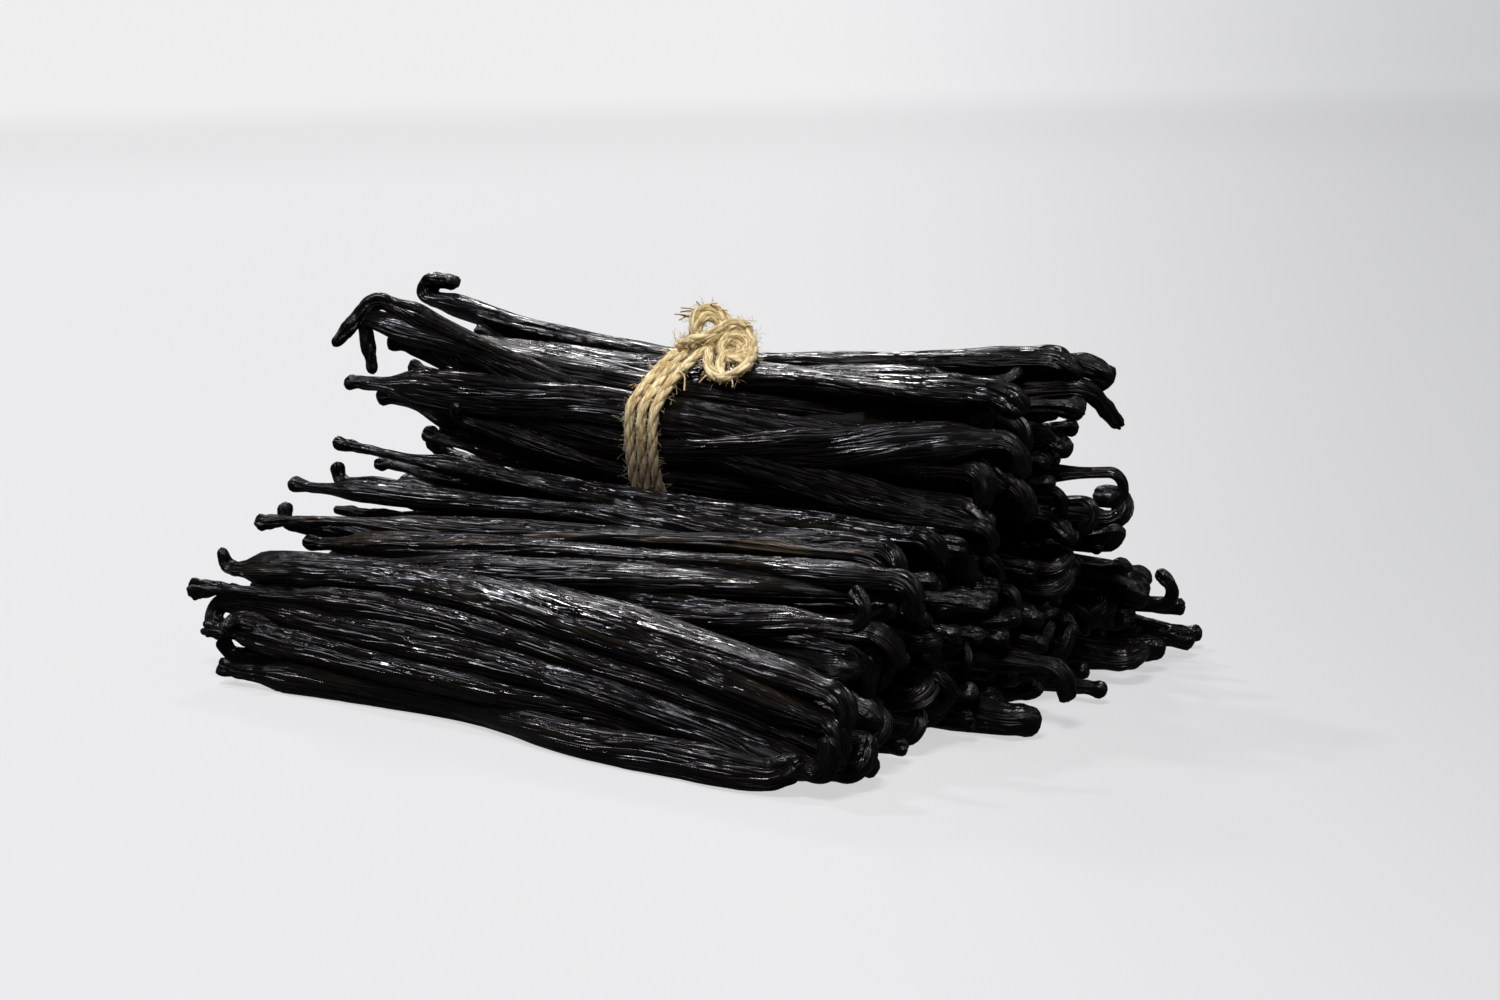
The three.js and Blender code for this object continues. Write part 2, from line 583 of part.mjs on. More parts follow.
function strand(points, r, steps) {
  const shape = new THREE.Shape(
    Array.from({ length: TWINE.sides }, (_, k) => {
      const a = (2 * Math.PI * k) / TWINE.sides;
      return new THREE.Vector2(r * Math.cos(a), r * Math.sin(a));
    }),
  );
  const extrudePath = new THREE.CatmullRomCurve3(points);
  return toSolid(new THREE.ExtrudeGeometry(shape, { steps, extrudePath, bevelEnabled: false }));
}

const joined = (solids) => solids.reduce((all, solid) => all.add(solid));

// The largest outward shell of a solid: sealed hollows are filled and loose scraps dropped.
function mainShell(solid) {
  const mesh = solid.getMesh();
  const tri = mesh.triVerts;
  const parent = Array.from({ length: mesh.numVert }, (_, i) => i);
  const root = (i) => {
    while (parent[i] !== i) i = parent[i] = parent[parent[i]];
    return i;
  };
  for (let i = 0; i < (mesh.mergeFromVert?.length ?? 0); i++)
    parent[root(mesh.mergeFromVert[i])] = root(mesh.mergeToVert[i]);
  for (let i = 0; i < tri.length; i += 3) {
    parent[root(tri[i])] = root(tri[i + 1]);
    parent[root(tri[i + 1])] = root(tri[i + 2]);
  }
  const at = (v) => new THREE.Vector3().fromArray(mesh.vertProperties, v * mesh.numProp);
  const volumes = new Map();
  for (let i = 0; i < tri.length; i += 3) {
    const key = root(tri[i]);
    const v = at(tri[i]).dot(at(tri[i + 1]).cross(at(tri[i + 2]))) / 6;
    volumes.set(key, (volumes.get(key) ?? 0) + v);
  }
  const best = [...volumes].sort((p, q) => q[1] - p[1])[0][0];
  const kept = [];
  for (let i = 0; i < tri.length; i += 3)
    if (root(tri[i]) === best) kept.push(tri[i], tri[i + 1], tri[i + 2]);
  const geometry = new THREE.BufferGeometry();
  const place = new Float32Array(mesh.numVert * 3);
  for (let v = 0; v < mesh.numVert; v++) at(v).toArray(place, v * 3);
  geometry.setAttribute("position", new THREE.BufferAttribute(place, 3));
  geometry.setIndex(kept);
  return geometry;
}

// ---- the object ----

const pods = layAll();
const tied = pods.filter((pod) => pod.group === "tied");
const loose = pods.filter((pod) => pod.group === "loose");

// How far a place in the heap's cross-section lies outside the core's outline, negative inside it.
function outside(y, z) {
  const { outline } = HEAP_CORE;
  let nearest = Infinity;
  let inside = false;
  outline.forEach(([y0, z0], i) => {
    const [y1, z1] = outline[(i + 1) % outline.length];
    const onFloor = z0 === 0 && z1 === 0;
    const length2 = (y1 - y0) ** 2 + (z1 - z0) ** 2;
    const t = THREE.MathUtils.clamp(((y - y0) * (y1 - y0) + (z - z0) * (z1 - z0)) / length2, 0, 1);
    if (!onFloor) nearest = Math.min(nearest, Math.hypot(y0 + t * (y1 - y0) - y, z0 + t * (z1 - z0) - z));
    if (z0 > z !== z1 > z && y < y0 + ((z - z0) / (z1 - z0)) * (y1 - y0)) inside = !inside;
  });
  return inside ? -nearest : nearest;
}

// Whether a pod lies on the outside, where its whole length shows. In the heap that is where it
// stands out of the core, and in the bundle where no other pod lies over it.
function shows(pod) {
  const here = bodyPoint(pod, 0);
  if (pod.group === "loose") return outside(here.y, here.z) > -SHOW_DEPTH;
  if (pod.fixed) return true;
  const out = facing(pod);
  return !pods.some((other) => {
    if (other.group !== pod.group) return false;
    const to = bodyPoint(other, 0).sub(here);
    const above = to.dot(out);
    return above > 3.5 && above < 9 && Math.sqrt(Math.max(0, to.lengthSq() - above ** 2)) < 3.4;
  });
}

function podSolids(pod, order, whole, core, grow) {
  const face = facing(pod);
  const build = (from, to, cut) =>
    tube(podRings(pod, from, to, cut), cut.sides, grow, face, WIDE, FLAT);
  if (whole) return [build(-200, 200, FACE_CUT)];
  const tips = [];
  if (order % STUB_CUT.oneInLeft === 0) tips.push(build(-200, core.x[0] + 3, STUB_CUT));
  if (pod.inside || order % STUB_CUT.oneInRight === 0) tips.push(build(core.x[1] - 3, 200, STUB_CUT));
  return tips;
}

const tiedSolid = joined([
  bundleCore(),
  ...tied.flatMap((pod, i) => podSolids(pod, i, shows(pod), BUNDLE_CORE, 0)),
]);
const keepOut = joined([
  bundleCore(),
  ...tied.flatMap((pod, i) => podSolids(pod, i, shows(pod), BUNDLE_CORE, CLEAR)),
]);
const turns = twineLine(tied);
const twineAt = (r) =>
  joined([
    strand(turns, r, TWINE.turns * TWINE.perTurn),
    strand(KNOT_WRAP.map((p) => new THREE.Vector3(...p)), r * 1.25, 4),
    strand([...KNOT_LOOP, KNOT_LOOP[0]].map((p) => new THREE.Vector3(...p)), r, 14),
    ...KNOT_ENDS.map((end) => strand(end.map((p) => new THREE.Vector3(...p)), r, 4)),
  ]);
const looseSolid = joined([
  heapCore(),
  ...loose.flatMap((pod, i) => podSolids(pod, i, shows(pod), HEAP_CORE, 0)),
])
  .subtract(keepOut)
  .subtract(twineAt(TWINE.r + CLEAR));
const twineSolid = twineAt(TWINE.r).subtract(keepOut);

function named(name, geometry, color, roughness) {
  geometry.computeVertexNormals();
  const material = new THREE.MeshStandardMaterial({ color, roughness, metalness: 0 });
  const mesh = new THREE.Mesh(geometry, material);
  mesh.name = name;
  return mesh;
}

const bundle = new THREE.Group();
bundle.add(named("loose_pods", mainShell(looseSolid), 0x17110f, 0.42));
bundle.add(named("tied_pods", mainShell(tiedSolid), 0x16100e, 0.4));
bundle.add(named("twine", mainShell(twineSolid), 0xc29a5f, 0.95));

export default bundle;
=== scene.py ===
"""A heap of cured vanilla pods with a twine-tied bundle of pods lying on top of it.

Driving sizes are in millimetres and the meshes in metres. +X runs along the pods, the twine
crosses X = 0, +Z is up and the heap rests on Z = 0.
"""

from __future__ import annotations

import json
import logging
import math
from dataclasses import dataclass, field
from enum import Enum
from typing import Callable, Iterable, Sequence

import bpy
import numpy as np
from mathutils import Matrix, Vector

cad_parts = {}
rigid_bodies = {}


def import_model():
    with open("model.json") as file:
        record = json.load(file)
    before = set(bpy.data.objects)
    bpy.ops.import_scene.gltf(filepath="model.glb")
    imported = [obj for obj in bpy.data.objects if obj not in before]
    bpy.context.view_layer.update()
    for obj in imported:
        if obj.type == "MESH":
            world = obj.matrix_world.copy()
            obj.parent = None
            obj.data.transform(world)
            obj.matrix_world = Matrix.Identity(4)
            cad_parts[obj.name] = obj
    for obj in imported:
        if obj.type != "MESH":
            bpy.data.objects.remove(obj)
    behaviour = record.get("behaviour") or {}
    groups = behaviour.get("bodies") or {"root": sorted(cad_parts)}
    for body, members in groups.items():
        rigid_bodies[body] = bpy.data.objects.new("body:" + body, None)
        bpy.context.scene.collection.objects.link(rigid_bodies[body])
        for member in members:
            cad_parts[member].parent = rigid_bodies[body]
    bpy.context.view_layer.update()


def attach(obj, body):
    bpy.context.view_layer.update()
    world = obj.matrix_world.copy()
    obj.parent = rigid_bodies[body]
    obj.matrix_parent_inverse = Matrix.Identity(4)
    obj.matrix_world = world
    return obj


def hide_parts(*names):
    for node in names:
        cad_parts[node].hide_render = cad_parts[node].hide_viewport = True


log = logging.getLogger("vanilla")
MM = 0.001
FULL_TURN = 2 * math.pi


# ---- small helpers ----


def linear(hex_colour: int) -> tuple[float, float, float, float]:
    """Turns an sRGB hex value into the linear colour that a shader takes.

    Args:
        hex_colour: the colour as 0xRRGGBB.

    Returns:
        Red, green, blue and alpha, each from 0 to 1.
    """
    parts = [((hex_colour >> shift) & 0xFF) / 255 for shift in (16, 8, 0)]
    return (*[c / 12.92 if c <= 0.04045 else ((c + 0.055) / 1.055) ** 2.4 for c in parts], 1.0)


def smooth(t: float) -> float:
    """Returns t eased between 0 and 1."""
    c = min(1.0, max(0.0, t))
    return c * c * (3 - 2 * c)


def unit(v: np.ndarray) -> np.ndarray:
    """Returns v at length 1, along its last axis."""
    return v / (np.linalg.norm(v, axis=-1, keepdims=True) + 1e-12)


def spline(p0: np.ndarray, p1: np.ndarray, p2: np.ndarray, p3: np.ndarray, t: np.ndarray) -> np.ndarray:
    """Returns the smooth curve from p1 to p2 at t, from 0 to 1, for four points in a row."""
    return 0.5 * (
        2 * p1 + (p2 - p0) * t + (2 * p0 - 5 * p1 + 4 * p2 - p3) * t * t + (3 * p1 - p0 - 3 * p2 + p3) * t**3
    )


def run_length(line: np.ndarray) -> np.ndarray:
    """Returns how far along a line each of its points is."""
    return np.concatenate([[0], np.cumsum(np.linalg.norm(np.diff(line, axis=0), axis=1))])


def relaxed(line: np.ndarray, share: float, times: int) -> np.ndarray:
    """Returns a line whose corners are evened out by that share that many times; the ends stay."""
    for _ in range(times):
        line[1:-1] += share * (line[:-2] + line[2:] - 2 * line[1:-1])
    return line


def add_object(name: str, data: bpy.types.ID) -> bpy.types.Object:
    """Returns a new object with that data, at the origin and linked to the scene."""
    made = bpy.data.objects.new(name, data)
    bpy.context.scene.collection.objects.link(made)
    return made


def seeded(seed: int) -> Callable[[], float]:
    """Makes a repeatable random draw.

    Args:
        seed: the same seed gives the same draws.

    Returns:
        A function that gives the next number between 0 and 1.
    """
    mask = 0xFFFFFFFF
    state = [seed & mask]

    def draw() -> float:
        """Returns the next draw."""
        state[0] = (state[0] + 0x6D2B79F5) & mask
        t = state[0]
        t = ((t ^ (t >> 15)) * (t | 1)) & mask
        t ^= (t + (((t ^ (t >> 7)) * (t | 61)) & mask)) & mask
        return ((t ^ (t >> 14)) & mask) / 4294967296.0

    return draw


def drift(rng: np.random.Generator, s: np.ndarray, wavelength: float, rows: int = 1) -> np.ndarray:
    """Draws smooth random curves along a pod.

    Args:
        rng: where the random numbers come from.
        s: the places along the pod, in mm, rising.
        wavelength: the spacing of the random values, in mm.
        rows: how many separate curves.

    Returns:
        An array of rows by len(s), each value mostly between -1 and 1.
    """
    count = int((s[-1] - s[0]) / wavelength) + 5
    knots = rng.uniform(-1, 1, (rows, count))
    u = (s - s[0]) / wavelength + 1 + rng.uniform(0, 1, (rows, 1))
    i = np.clip(u.astype(int), 1, count - 3)
    t = u - i
    return spline(*(np.take_along_axis(knots, i + k, axis=1) for k in (-1, 0, 1, 2)), t)


def carried_frames(line: np.ndarray, face: np.ndarray, middle: int) -> tuple[np.ndarray, np.ndarray]:
    """Carries a cross-section frame along a line without twisting it.

    Args:
        line: the points, in order.
        face: the direction that the section faces at the middle.
        middle: the index that the frame starts from.

    Returns:
        The facing direction and the direction across it, at every point.
    """
    tangent = unit(np.gradient(line, axis=0))
    normal = np.zeros_like(line)
    start = face - tangent[middle] * (face @ tangent[middle])
    normal[middle] = unit(start)
    for order in (range(middle + 1, len(line)), range(middle - 1, -1, -1)):
        last = normal[middle]
        for i in order:
            last = unit(last - tangent[i] * (last @ tangent[i]))
            normal[i] = last
    return normal, np.cross(tangent, normal)


# ---- a mesh of many closed shells ----


class ShellMesh:
    """Collects closed tubes and turns them into one mesh object."""

    cap = 0.15

    def __init__(self, name: str) -> None:
        """Starts an empty mesh with that name."""
        self.name = name
        self.points: list[np.ndarray] = []
        self.quads: list[np.ndarray] = []
        self.tris: list[np.ndarray] = []
        self.marks: dict[str, list[np.ndarray]] = {}
        self.count = 0

    def add_tube(self, grid: np.ndarray, marks: dict[str, np.ndarray]) -> None:
        """Adds one tube whose two ends close on a point.

        Args:
            grid: rings by corners by 3, in mm.
            marks: values for each point, rings by corners (by 3), by attribute name.
        """
        rings, sides = grid.shape[:2]
        corner = np.arange(rings * sides).reshape(rings, sides)
        a, b = corner[:-1], np.roll(corner[:-1], -1, axis=1)
        c, d = np.roll(corner[1:], -1, axis=1), corner[1:]
        quads = np.stack([a, b, c, d], axis=-1).reshape(-1, 4)
        first, last = rings * sides, rings * sides + 1
        tips = np.stack([corner[0], np.full(sides, first), np.roll(corner[0], -1)], axis=-1)
        tops = np.stack([np.roll(corner[-1], -1), np.full(sides, last), corner[-1]], axis=-1)
        tris = np.concatenate([tips, tops])
        # Each end closes on a point a little beyond its last ring.
        rows = ((grid[0].mean(0), grid[1].mean(0)), (grid[-1].mean(0), grid[-2].mean(0)))
        poles = np.stack([end + self.cap * unit(end - before) for end, before in rows])
        flat = np.concatenate([grid.reshape(-1, 3), poles])
        # The first ring's turn shows which way the faces look.
        turn = np.cross(grid[0, 1] - grid[0, 0], grid[1, 0] - grid[0, 0])
        if turn @ (grid[0, 0] - grid[0].mean(0)) < 0:
            quads, tris = quads[:, ::-1], tris[:, ::-1]
        self.points.append(flat)
        self.quads.append(quads + self.count)
        self.tris.append(tris + self.count)
        for key, value in marks.items():
            rows = value.reshape(rings * sides, -1)
            ends = np.stack([value[0].reshape(sides, -1).mean(0), value[-1].reshape(sides, -1).mean(0)])
            self.marks.setdefault(key, []).append(np.concatenate([rows, ends]))
        self.count += len(flat)

    def build(self, finish: bpy.types.Material) -> bpy.types.Object:
        """Makes the mesh object.

        Args:
            finish: its material.

        Returns:
            The object, at the origin, linked to the scene.
        """
        points = np.concatenate(self.points) * MM
        quads, tris = np.concatenate(self.quads), np.concatenate(self.tris)
        mesh = bpy.data.meshes.new(self.name)
        mesh.vertices.add(len(points))
        mesh.vertices.foreach_set("co", points.ravel())
        mesh.loops.add(quads.size + tris.size)
        mesh.loops.foreach_set("vertex_index", np.concatenate([quads.ravel(), tris.ravel()]))
        mesh.polygons.add(len(quads) + len(tris))
        starts = np.concatenate([np.arange(len(quads)) * 4, quads.size + np.arange(len(tris)) * 3])
        mesh.polygons.foreach_set("loop_start", starts)
        mesh.update(calc_edges=True)
        mesh.polygons.foreach_set("use_smooth", np.ones(len(starts), dtype=bool))
        for key, values in self.marks.items():
            rows = np.concatenate(values)
            vector = rows.shape[1] == 3
            layer = mesh.attributes.new(key, "FLOAT_VECTOR" if vector else "FLOAT", "POINT")
            layer.data.foreach_set("vector" if vector else "value", rows.ravel())
        mesh.materials.append(finish)
        log.info("%s: %d faces", self.name, len(quads) * 2 + len(tris))
        return add_object(self.name, mesh)


# ---- the forms of the pods ----


@dataclass(frozen=True)
class TipForm:
    """A tip beyond the pod's body: a straight lead, a bend and a tail, in mm and degrees.

    The body thins to the neck over the taper.
    """

    lead: float
    turn: float
    bend: float
    tail: float
    neck: float
    end: float
    taper: float

    @property
    def length(self) -> float:
        """The tip's length along its line."""
        return self.lead + math.radians(self.turn) * self.bend + self.tail

    @property
    def reach(self) -> float:
        """How far the tip reaches along its pod."""
        a = math.radians(min(self.turn, 90))
        on = max(0.0, self.tail * math.cos(math.radians(self.turn)))
        return self.lead + self.bend * math.sin(a) + on + self.end


class Tip(Enum):
    """The kinds of tip: a stalk end with its knob, or a folded or pointed flower end."""

    KNOB = TipForm(9, 18, 20, 2, 1.45, 2.1, 16)
    BUTTON = TipForm(4, 14, 14, 1, 1.5, 1.9, 12)
    UPRIGHT = TipForm(1, 80, 2.6, 1.5, 1.8, 1.8, 9)
    HOOK = TipForm(4, 135, 3, 2, 1.4, 1.7, 14)
    FOLD = TipForm(2, 95, 3.8, 2, 2.4, 2.2, 10)
    DROOP = TipForm(2, 82, 4, 11, 1.9, 1.3, 10)
    HANG = TipForm(1, 112, 2.6, 9.0, 2.0, 1.9, 8)
    POINT = TipForm(12, 14, 25, 3, 1.4, 1, 26)
    NECK = TipForm(16, 12, 30, 3, 1.4, 2, 18)
    CURL = TipForm(1.5, 170, 2.7, 4, 2.1, 2.2, 6)
    CREST = TipForm(1.5, 172, 2.5, 5.0, 2.6, 2.5, 6)
    BLUNT = TipForm(1, 35, 8, 2, 2.8, 2.4, 10)
    PADDLE = TipForm(5, 10, 30, 5, 2, 2.9, 8)


LEFT_TIPS = (Tip.KNOB,) + (Tip.BUTTON,) * 4 + (Tip.POINT,) + (Tip.UPRIGHT,) * 2
RIGHT_TIPS = (Tip.BLUNT,) * 3 + (Tip.BUTTON,) * 2 + (Tip.FOLD,) * 2 + (Tip.KNOB, Tip.HOOK, Tip.CURL)


class Group(Enum):
    """Where a pod lies."""

    TIED = "tied"
    LOOSE = "loose"


@dataclass
class Pod:
    """One pod as it lies: its radius, ends, tips and its centre at every station."""

    group: Group
    fixed: bool
    inside: bool
    r: float
    x0: float
    x1: float
    left: Tip
    roll_left: float
    right: Tip
    roll_right: float
    y: np.ndarray
    z: np.ndarray
    tan: float = 0.03
    index: int = 0


@dataclass(frozen=True)
class Stations:
    """The places along X where the pods' sections are settled."""

    count: int = 23
    step: float = 8.0
    first: float = -88.0

    @property
    def x(self) -> np.ndarray:
        """Every station's X."""
        return self.first + self.step * np.arange(self.count)

    def between(self, values: np.ndarray, x: np.ndarray | float) -> np.ndarray:
        """Reads a smooth curve through the stations' values.

        Args:
            values: one value for each station.
            x: where to read it.

        Returns:
            The curve's value at each x.
        """
        u = (np.asarray(x, dtype=float) - self.first) / self.step
        i = np.clip(np.floor(u).astype(int), 0, self.count - 2)
        t = u - i
        padded = np.concatenate([[2 * values[0] - values[1]], values, [2 * values[-1] - values[-2]]])
        return spline(*(padded[i + k] for k in range(4)), t)


Pair = tuple[float, float]
Row = tuple[float, float, Pair, Pair, Pair, float, Tip, float, Tip, float]
Points = tuple[tuple[float, float, float], ...]


@dataclass
class Layout:
    """How the pods lie: the listed ones that show, and the rest settled round them."""

    # The tied section: its centre's y and z, and its radius.
    waist: tuple[float, float, float] = (-1.6, 53.4, 17.6)
    # Each end of the bundle: x, the section's centre and its half-width and half-height.
    fan_left: tuple[float, float, float, float, float] = (-84, -9, 65, 25, 18)
    fan_right: tuple[float, float, float, float, float] = (90, 8, 57.5, 27, 17.5)
    twist: float = 24.0
    pinch: float = 0.3
    # The bundle's filling pods: distance from its middle, how many, first angle and the step between.
    rings: tuple[tuple[float, int, float, float], ...] = (
        (14.4, 2, 250, 30),
        (14.4, 2, 342, 30),
        (8.8, 8, 20, 45),
        (3.0, 3, 40, 120),
    )
    # The heap's half-widths, front and back, one for each step up.
    heap_step: float = 6.0
    heap_front: tuple[float, ...] = (71, 71, 70, 67, 61, 52, 34, 26)
    heap_back: tuple[float, ...] = (72, 72, 68, 57, 50, 45, 37, 26)
    # The section (y, z) of the heap as its outer pods lie on it.
    heap_core: tuple[Pair, ...] = (
        (71, 0), (69, 5), (63, 9), (55, 14), (50.5, 21), (46, 26.5), (38, 31), (33, 34.5), (18, 34.5),
        (11, 30), (5, 27.5), (-3, 27), (-9, 29.5), (-16, 31), (-21, 35.5), (-33, 37), (-43, 34.5),
        (-50, 30.5), (-57, 27.5), (-63, 24), (-67, 19), (-69.5, 13), (-71, 7), (-71, 0),
    )
    show_depth: float = 3.2
    # Pods whose crests are brown, by their place in the tables below, and how brown.
    browned: tuple[tuple[int, float], ...] = ((16, 0.36), (17, 0.16), (19, 0.08))
    layers: int = 7
    layer_pitch: float = 5.75
    layer_first: float = 3.2
    pod_pitch: float = 6.75
    face_inset: float = 4.5
    radius: Pair = (2.9, 3.6)
    ring_radius: Pair = (2.85, 3.25)
    ring_turn: float = 5.0
    # Between what a filling pod's ends and then the ways its tips bend are drawn. The tips of a pod
    # that is lower than low_z don't bend down into the ground.
    tied_ranges: tuple[Pair, ...] = ((-75, -64), (80, 89), (60, 300), (-110, 60))
    loose_ranges: tuple[Pair, ...] = ((-85, -75), (80, 90), (60, 260), (-100, 60))
    low_ranges: tuple[Pair, ...] = ((-85, -75), (80, 90), (60, 200), (0, 80))
    low_z: float = 10.0
    apart: float = 1.1
    # How far a tip may stray, how near a filling pod's middle may lie to a listed one's, and the
    # room between the bundle and the heap's pods.
    stray: float = 5.0
    lift: float = 3.0
    near: float = 5.2
    clear: float = 3.2
    # How far along X the tie grips the bundle and keeps the heap's pods down, and the play it leaves.
    grip_x: float = 16.0
    under_x: float = 26.0
    play: float = 6.0
    down: Pair = (0.3, 3.7)
    # Each round of settling: the share of an overlap that is pushed away, of the way home, the fall
    # in mm, and the share that is smoothed along the pod.
    push: float = 0.55
    home: float = 0.02
    fall: float = 0.03
    even: float = 0.25
    # The oval whose outside the heap's pods face, and where a pod over another one lies.
    oval: Pair = (76.0, 42.0)
    over: Pair = (3.5, 9.0)
    beside: float = 3.4
    seed: int = 11
    rounds: int = 90
    stations: Stations = field(default_factory=Stations)
    # Radius, x of the left tip, (y, z) there, at the middle and at the right tip, x of the right
    # tip, and each tip with the way it bends (90 is up, 180 is to the front).
    tied: tuple[Row, ...] = (
        (3.6, -89.5, (1.5, 79.8), (1, 68.6), (15, 74), 91, Tip.CREST, 85, Tip.BLUNT, -80),
        (3.3, -88, (-18.5, 82.5), (-16.3, 57), (-14, 42), 88, Tip.DROOP, -125, Tip.HOOK, -60),
        (2.6, -88, (-20.5, 77.5), (-10.5, 64.8), (2, 62), 86, Tip.HANG, -90, Tip.FOLD, -100),
        (3.7, -83.5, (-31, 63), (-16.5, 59.5), (-12, 53), 86, Tip.BUTTON, 200, Tip.FOLD, -90),
        (4, -82, (-21, 58.5), (-16.6, 51.5), (-11.5, 60.5), 93, Tip.BUTTON, 200, Tip.FOLD, -80),
        (3.4, -76, (-10, 71), (-5.5, 67.6), (-7, 69), 90, Tip.UPRIGHT, 200, Tip.BLUNT, -70),
        (3.5, -76, (8, 74), (7.2, 67), (15, 75), 90, Tip.KNOB, 60, Tip.BLUNT, -60),
        (3.8, -70, (15, 68), (11.3, 62), (22, 72.5), 94, Tip.UPRIGHT, 20, Tip.BLUNT, -80),
        (2.8, -72, (6, 64), (4, 60), (15, 68.5), 95, Tip.POINT, 90, Tip.DROOP, -40),
        (3.7, -72, (0, 66), (-3.2, 60.9), (6, 66), 97, Tip.BUTTON, 90, Tip.PADDLE, -120),
        (2.2, -86, (-13, 70.5), (-8.6, 55.5), (-4, 52), 84, Tip.BUTTON, 180, Tip.BLUNT, -90),
        (3, -72, (8, 50), (8.5, 43), (26, 48.8), 96, Tip.KNOB, 90, Tip.HOOK, -80),
        (3.2, -54, (-24.5, 55.5), (-15.2, 44.6), (-12, 45), 86, Tip.UPRIGHT, 120, Tip.BLUNT, -90),
    )
    face: tuple[Row, ...] = (
        (2.9, -84, (-34, 49), (-24.5, 41.5), (-26, 42), 82, Tip.KNOB, 170, Tip.FOLD, -60),
        (2.7, -86.5, (-32.5, 38.8), (-28.5, 36.5), (-20, 33), 80, Tip.UPRIGHT, 90, Tip.HOOK, -80),
        (3.1, -90, (-44, 39), (-33.5, 39), (-36, 40), 81, Tip.BUTTON, 150, Tip.FOLD, -100),
        (2.6, -88, (-56, 33), (-43.5, 36.8), (-36, 39), 78, Tip.NECK, 185, Tip.BLUNT, -60),
        (2.9, -74, (-54, 29), (-50, 33.8), (-44, 37), 90, Tip.BUTTON, 160, Tip.FOLD, -90),
        (3.1, -64, (-61, 27), (-57, 30.6), (-38, 33), 102, Tip.POINT, 180, Tip.POINT, -60),
        (4.2, -88, (-67.5, 23.8), (-64.5, 25), (-72.5, 13), 92, Tip.UPRIGHT, 100, Tip.FOLD, -90),
        (2.8, -93, (-72, 19.5), (-68.5, 19.5), (-71.5, 8.5), 90, Tip.NECK, 190, Tip.HOOK, -30),
        (3.1, -89, (-69.5, 16), (-71, 14), (-73, 4.5), 90, Tip.CURL, 250, Tip.FOLD, 100),
        (3.2, -86, (-70.5, 10.5), (-73, 8.2), (-66, 4), 92, Tip.CURL, 170, Tip.FOLD, 60),
        (3.4, -66, (-57, 25), (-61, 26.5), (-70, 18.5), 92, Tip.POINT, 180, Tip.FOLD, -90),
        (3.2, -66, (-53, 27), (-55, 25.5), (-58.5, 30.5), 88, Tip.POINT, 180, Tip.HOOK, 80),
    )
    side: tuple[Row, ...] = (
        (2.8, -74, (26, 41), (25, 37.2), (24, 42.5), 90, Tip.POINT, 180, Tip.HOOK, -100),
        (3.6, -75, (-13, 45.5), (-9, 31.4), (-9, 36), 84, Tip.BLUNT, 100, Tip.FOLD, -60),
        (2.9, -78, (30, 33), (28.5, 30.5), (25.5, 34.5), 95, Tip.BUTTON, 160, Tip.KNOB, 60),
        (3, -76, (38, 27), (37, 25.5), (34, 26), 92, Tip.KNOB, 170, Tip.BUTTON, 85),
        (3.1, -78, (46, 20), (45, 19.3), (41, 20), 92, Tip.UPRIGHT, 160, Tip.BLUNT, -60),
        (2.7, -76, (57, 13), (56, 13), (51, 15), 95, Tip.KNOB, 170, Tip.HOOK, 100),
        (3.4, -78, (66, 4.5), (66, 4.5), (61, 5.6), 92, Tip.BUTTON, 170, Tip.BLUNT, -30),
        (2.6, -76, (64, 11), (62.5, 11), (60.5, 11.6), 91, Tip.POINT, 170, Tip.BUTTON, 60),
        (3.3, -78, (50, 4), (49, 3.9), (45.5, 5.6), 93, Tip.BUTTON, 170, Tip.BLUNT, 0),
        (3.4, -78, (36, 4), (35, 3.9), (33.5, 5), 94, Tip.KNOB, 170, Tip.FOLD, 10),
        (2.6, -80, (18, 3), (18, 3.1), (16, 3.2), 96, Tip.KNOB, 170, Tip.BUTTON, 0),
        (4, -78, (-10, 13), (-9, 11.5), (-6, 14), 101, Tip.KNOB, 170, Tip.FOLD, -80),
        (3.6, -80, (-20, 4), (-19, 3.9), (-17, 4.5), 99, Tip.UPRIGHT, 100, Tip.BLUNT, 0),
    )

    def pinched(self, x: np.ndarray, xa: float, a: float, m: float, xb: float, b: float) -> np.ndarray:
        """Returns the curve from a at xa through m at 0 to b at xb, rounded over the tie."""
        e = self.pinch
        t = np.where(x < 0, x / xa, x / xb)
        g = (np.sqrt(t * t + e * e) - e) / (math.sqrt(1 + e * e) - e)
        return m + np.where(x < 0, a - m, b - m) * g

    def parabola(self, x: np.ndarray, xa: float, a: float, m: float, xb: float, b: float) -> np.ndarray:
        """Returns the parabola through a at xa, m at 0 and b at xb."""
        return (
            a * x * (x - xb) / (xa * (xa - xb))
            + m * (x - xa) * (x - xb) / (xa * xb)
            + b * (x - xa) * x / ((xb - xa) * xb)
        )

    def lay(self, group: Group, row: Row, fixed: bool, inside: bool = False) -> Pod:
        """Lays one pod along its row of sizes.

        Args:
            group: the bundle or the heap.
            row: the pod's sizes, as in the tables.
            fixed: whether settling leaves it where it is.
            inside: whether it lies inside the heap.

        Returns:
            The pod.
        """
        r, xa, a, m, b, xb, left, roll_left, right, roll_right = row
        lists = []
        for k in (0, 1):
            crosses = (a[k] - m[k]) * (b[k] - m[k]) < 0
            curve = self.pinched if group is Group.TIED and not crosses else self.parabola
            lists.append(curve(self.stations.x, xa, a[k], m[k], xb, b[k]))
        x0, x1 = xa + left.value.reach, xb - right.value.reach
        return Pod(group, fixed, inside, r, x0, x1, left, roll_left, right, roll_right, *lists)

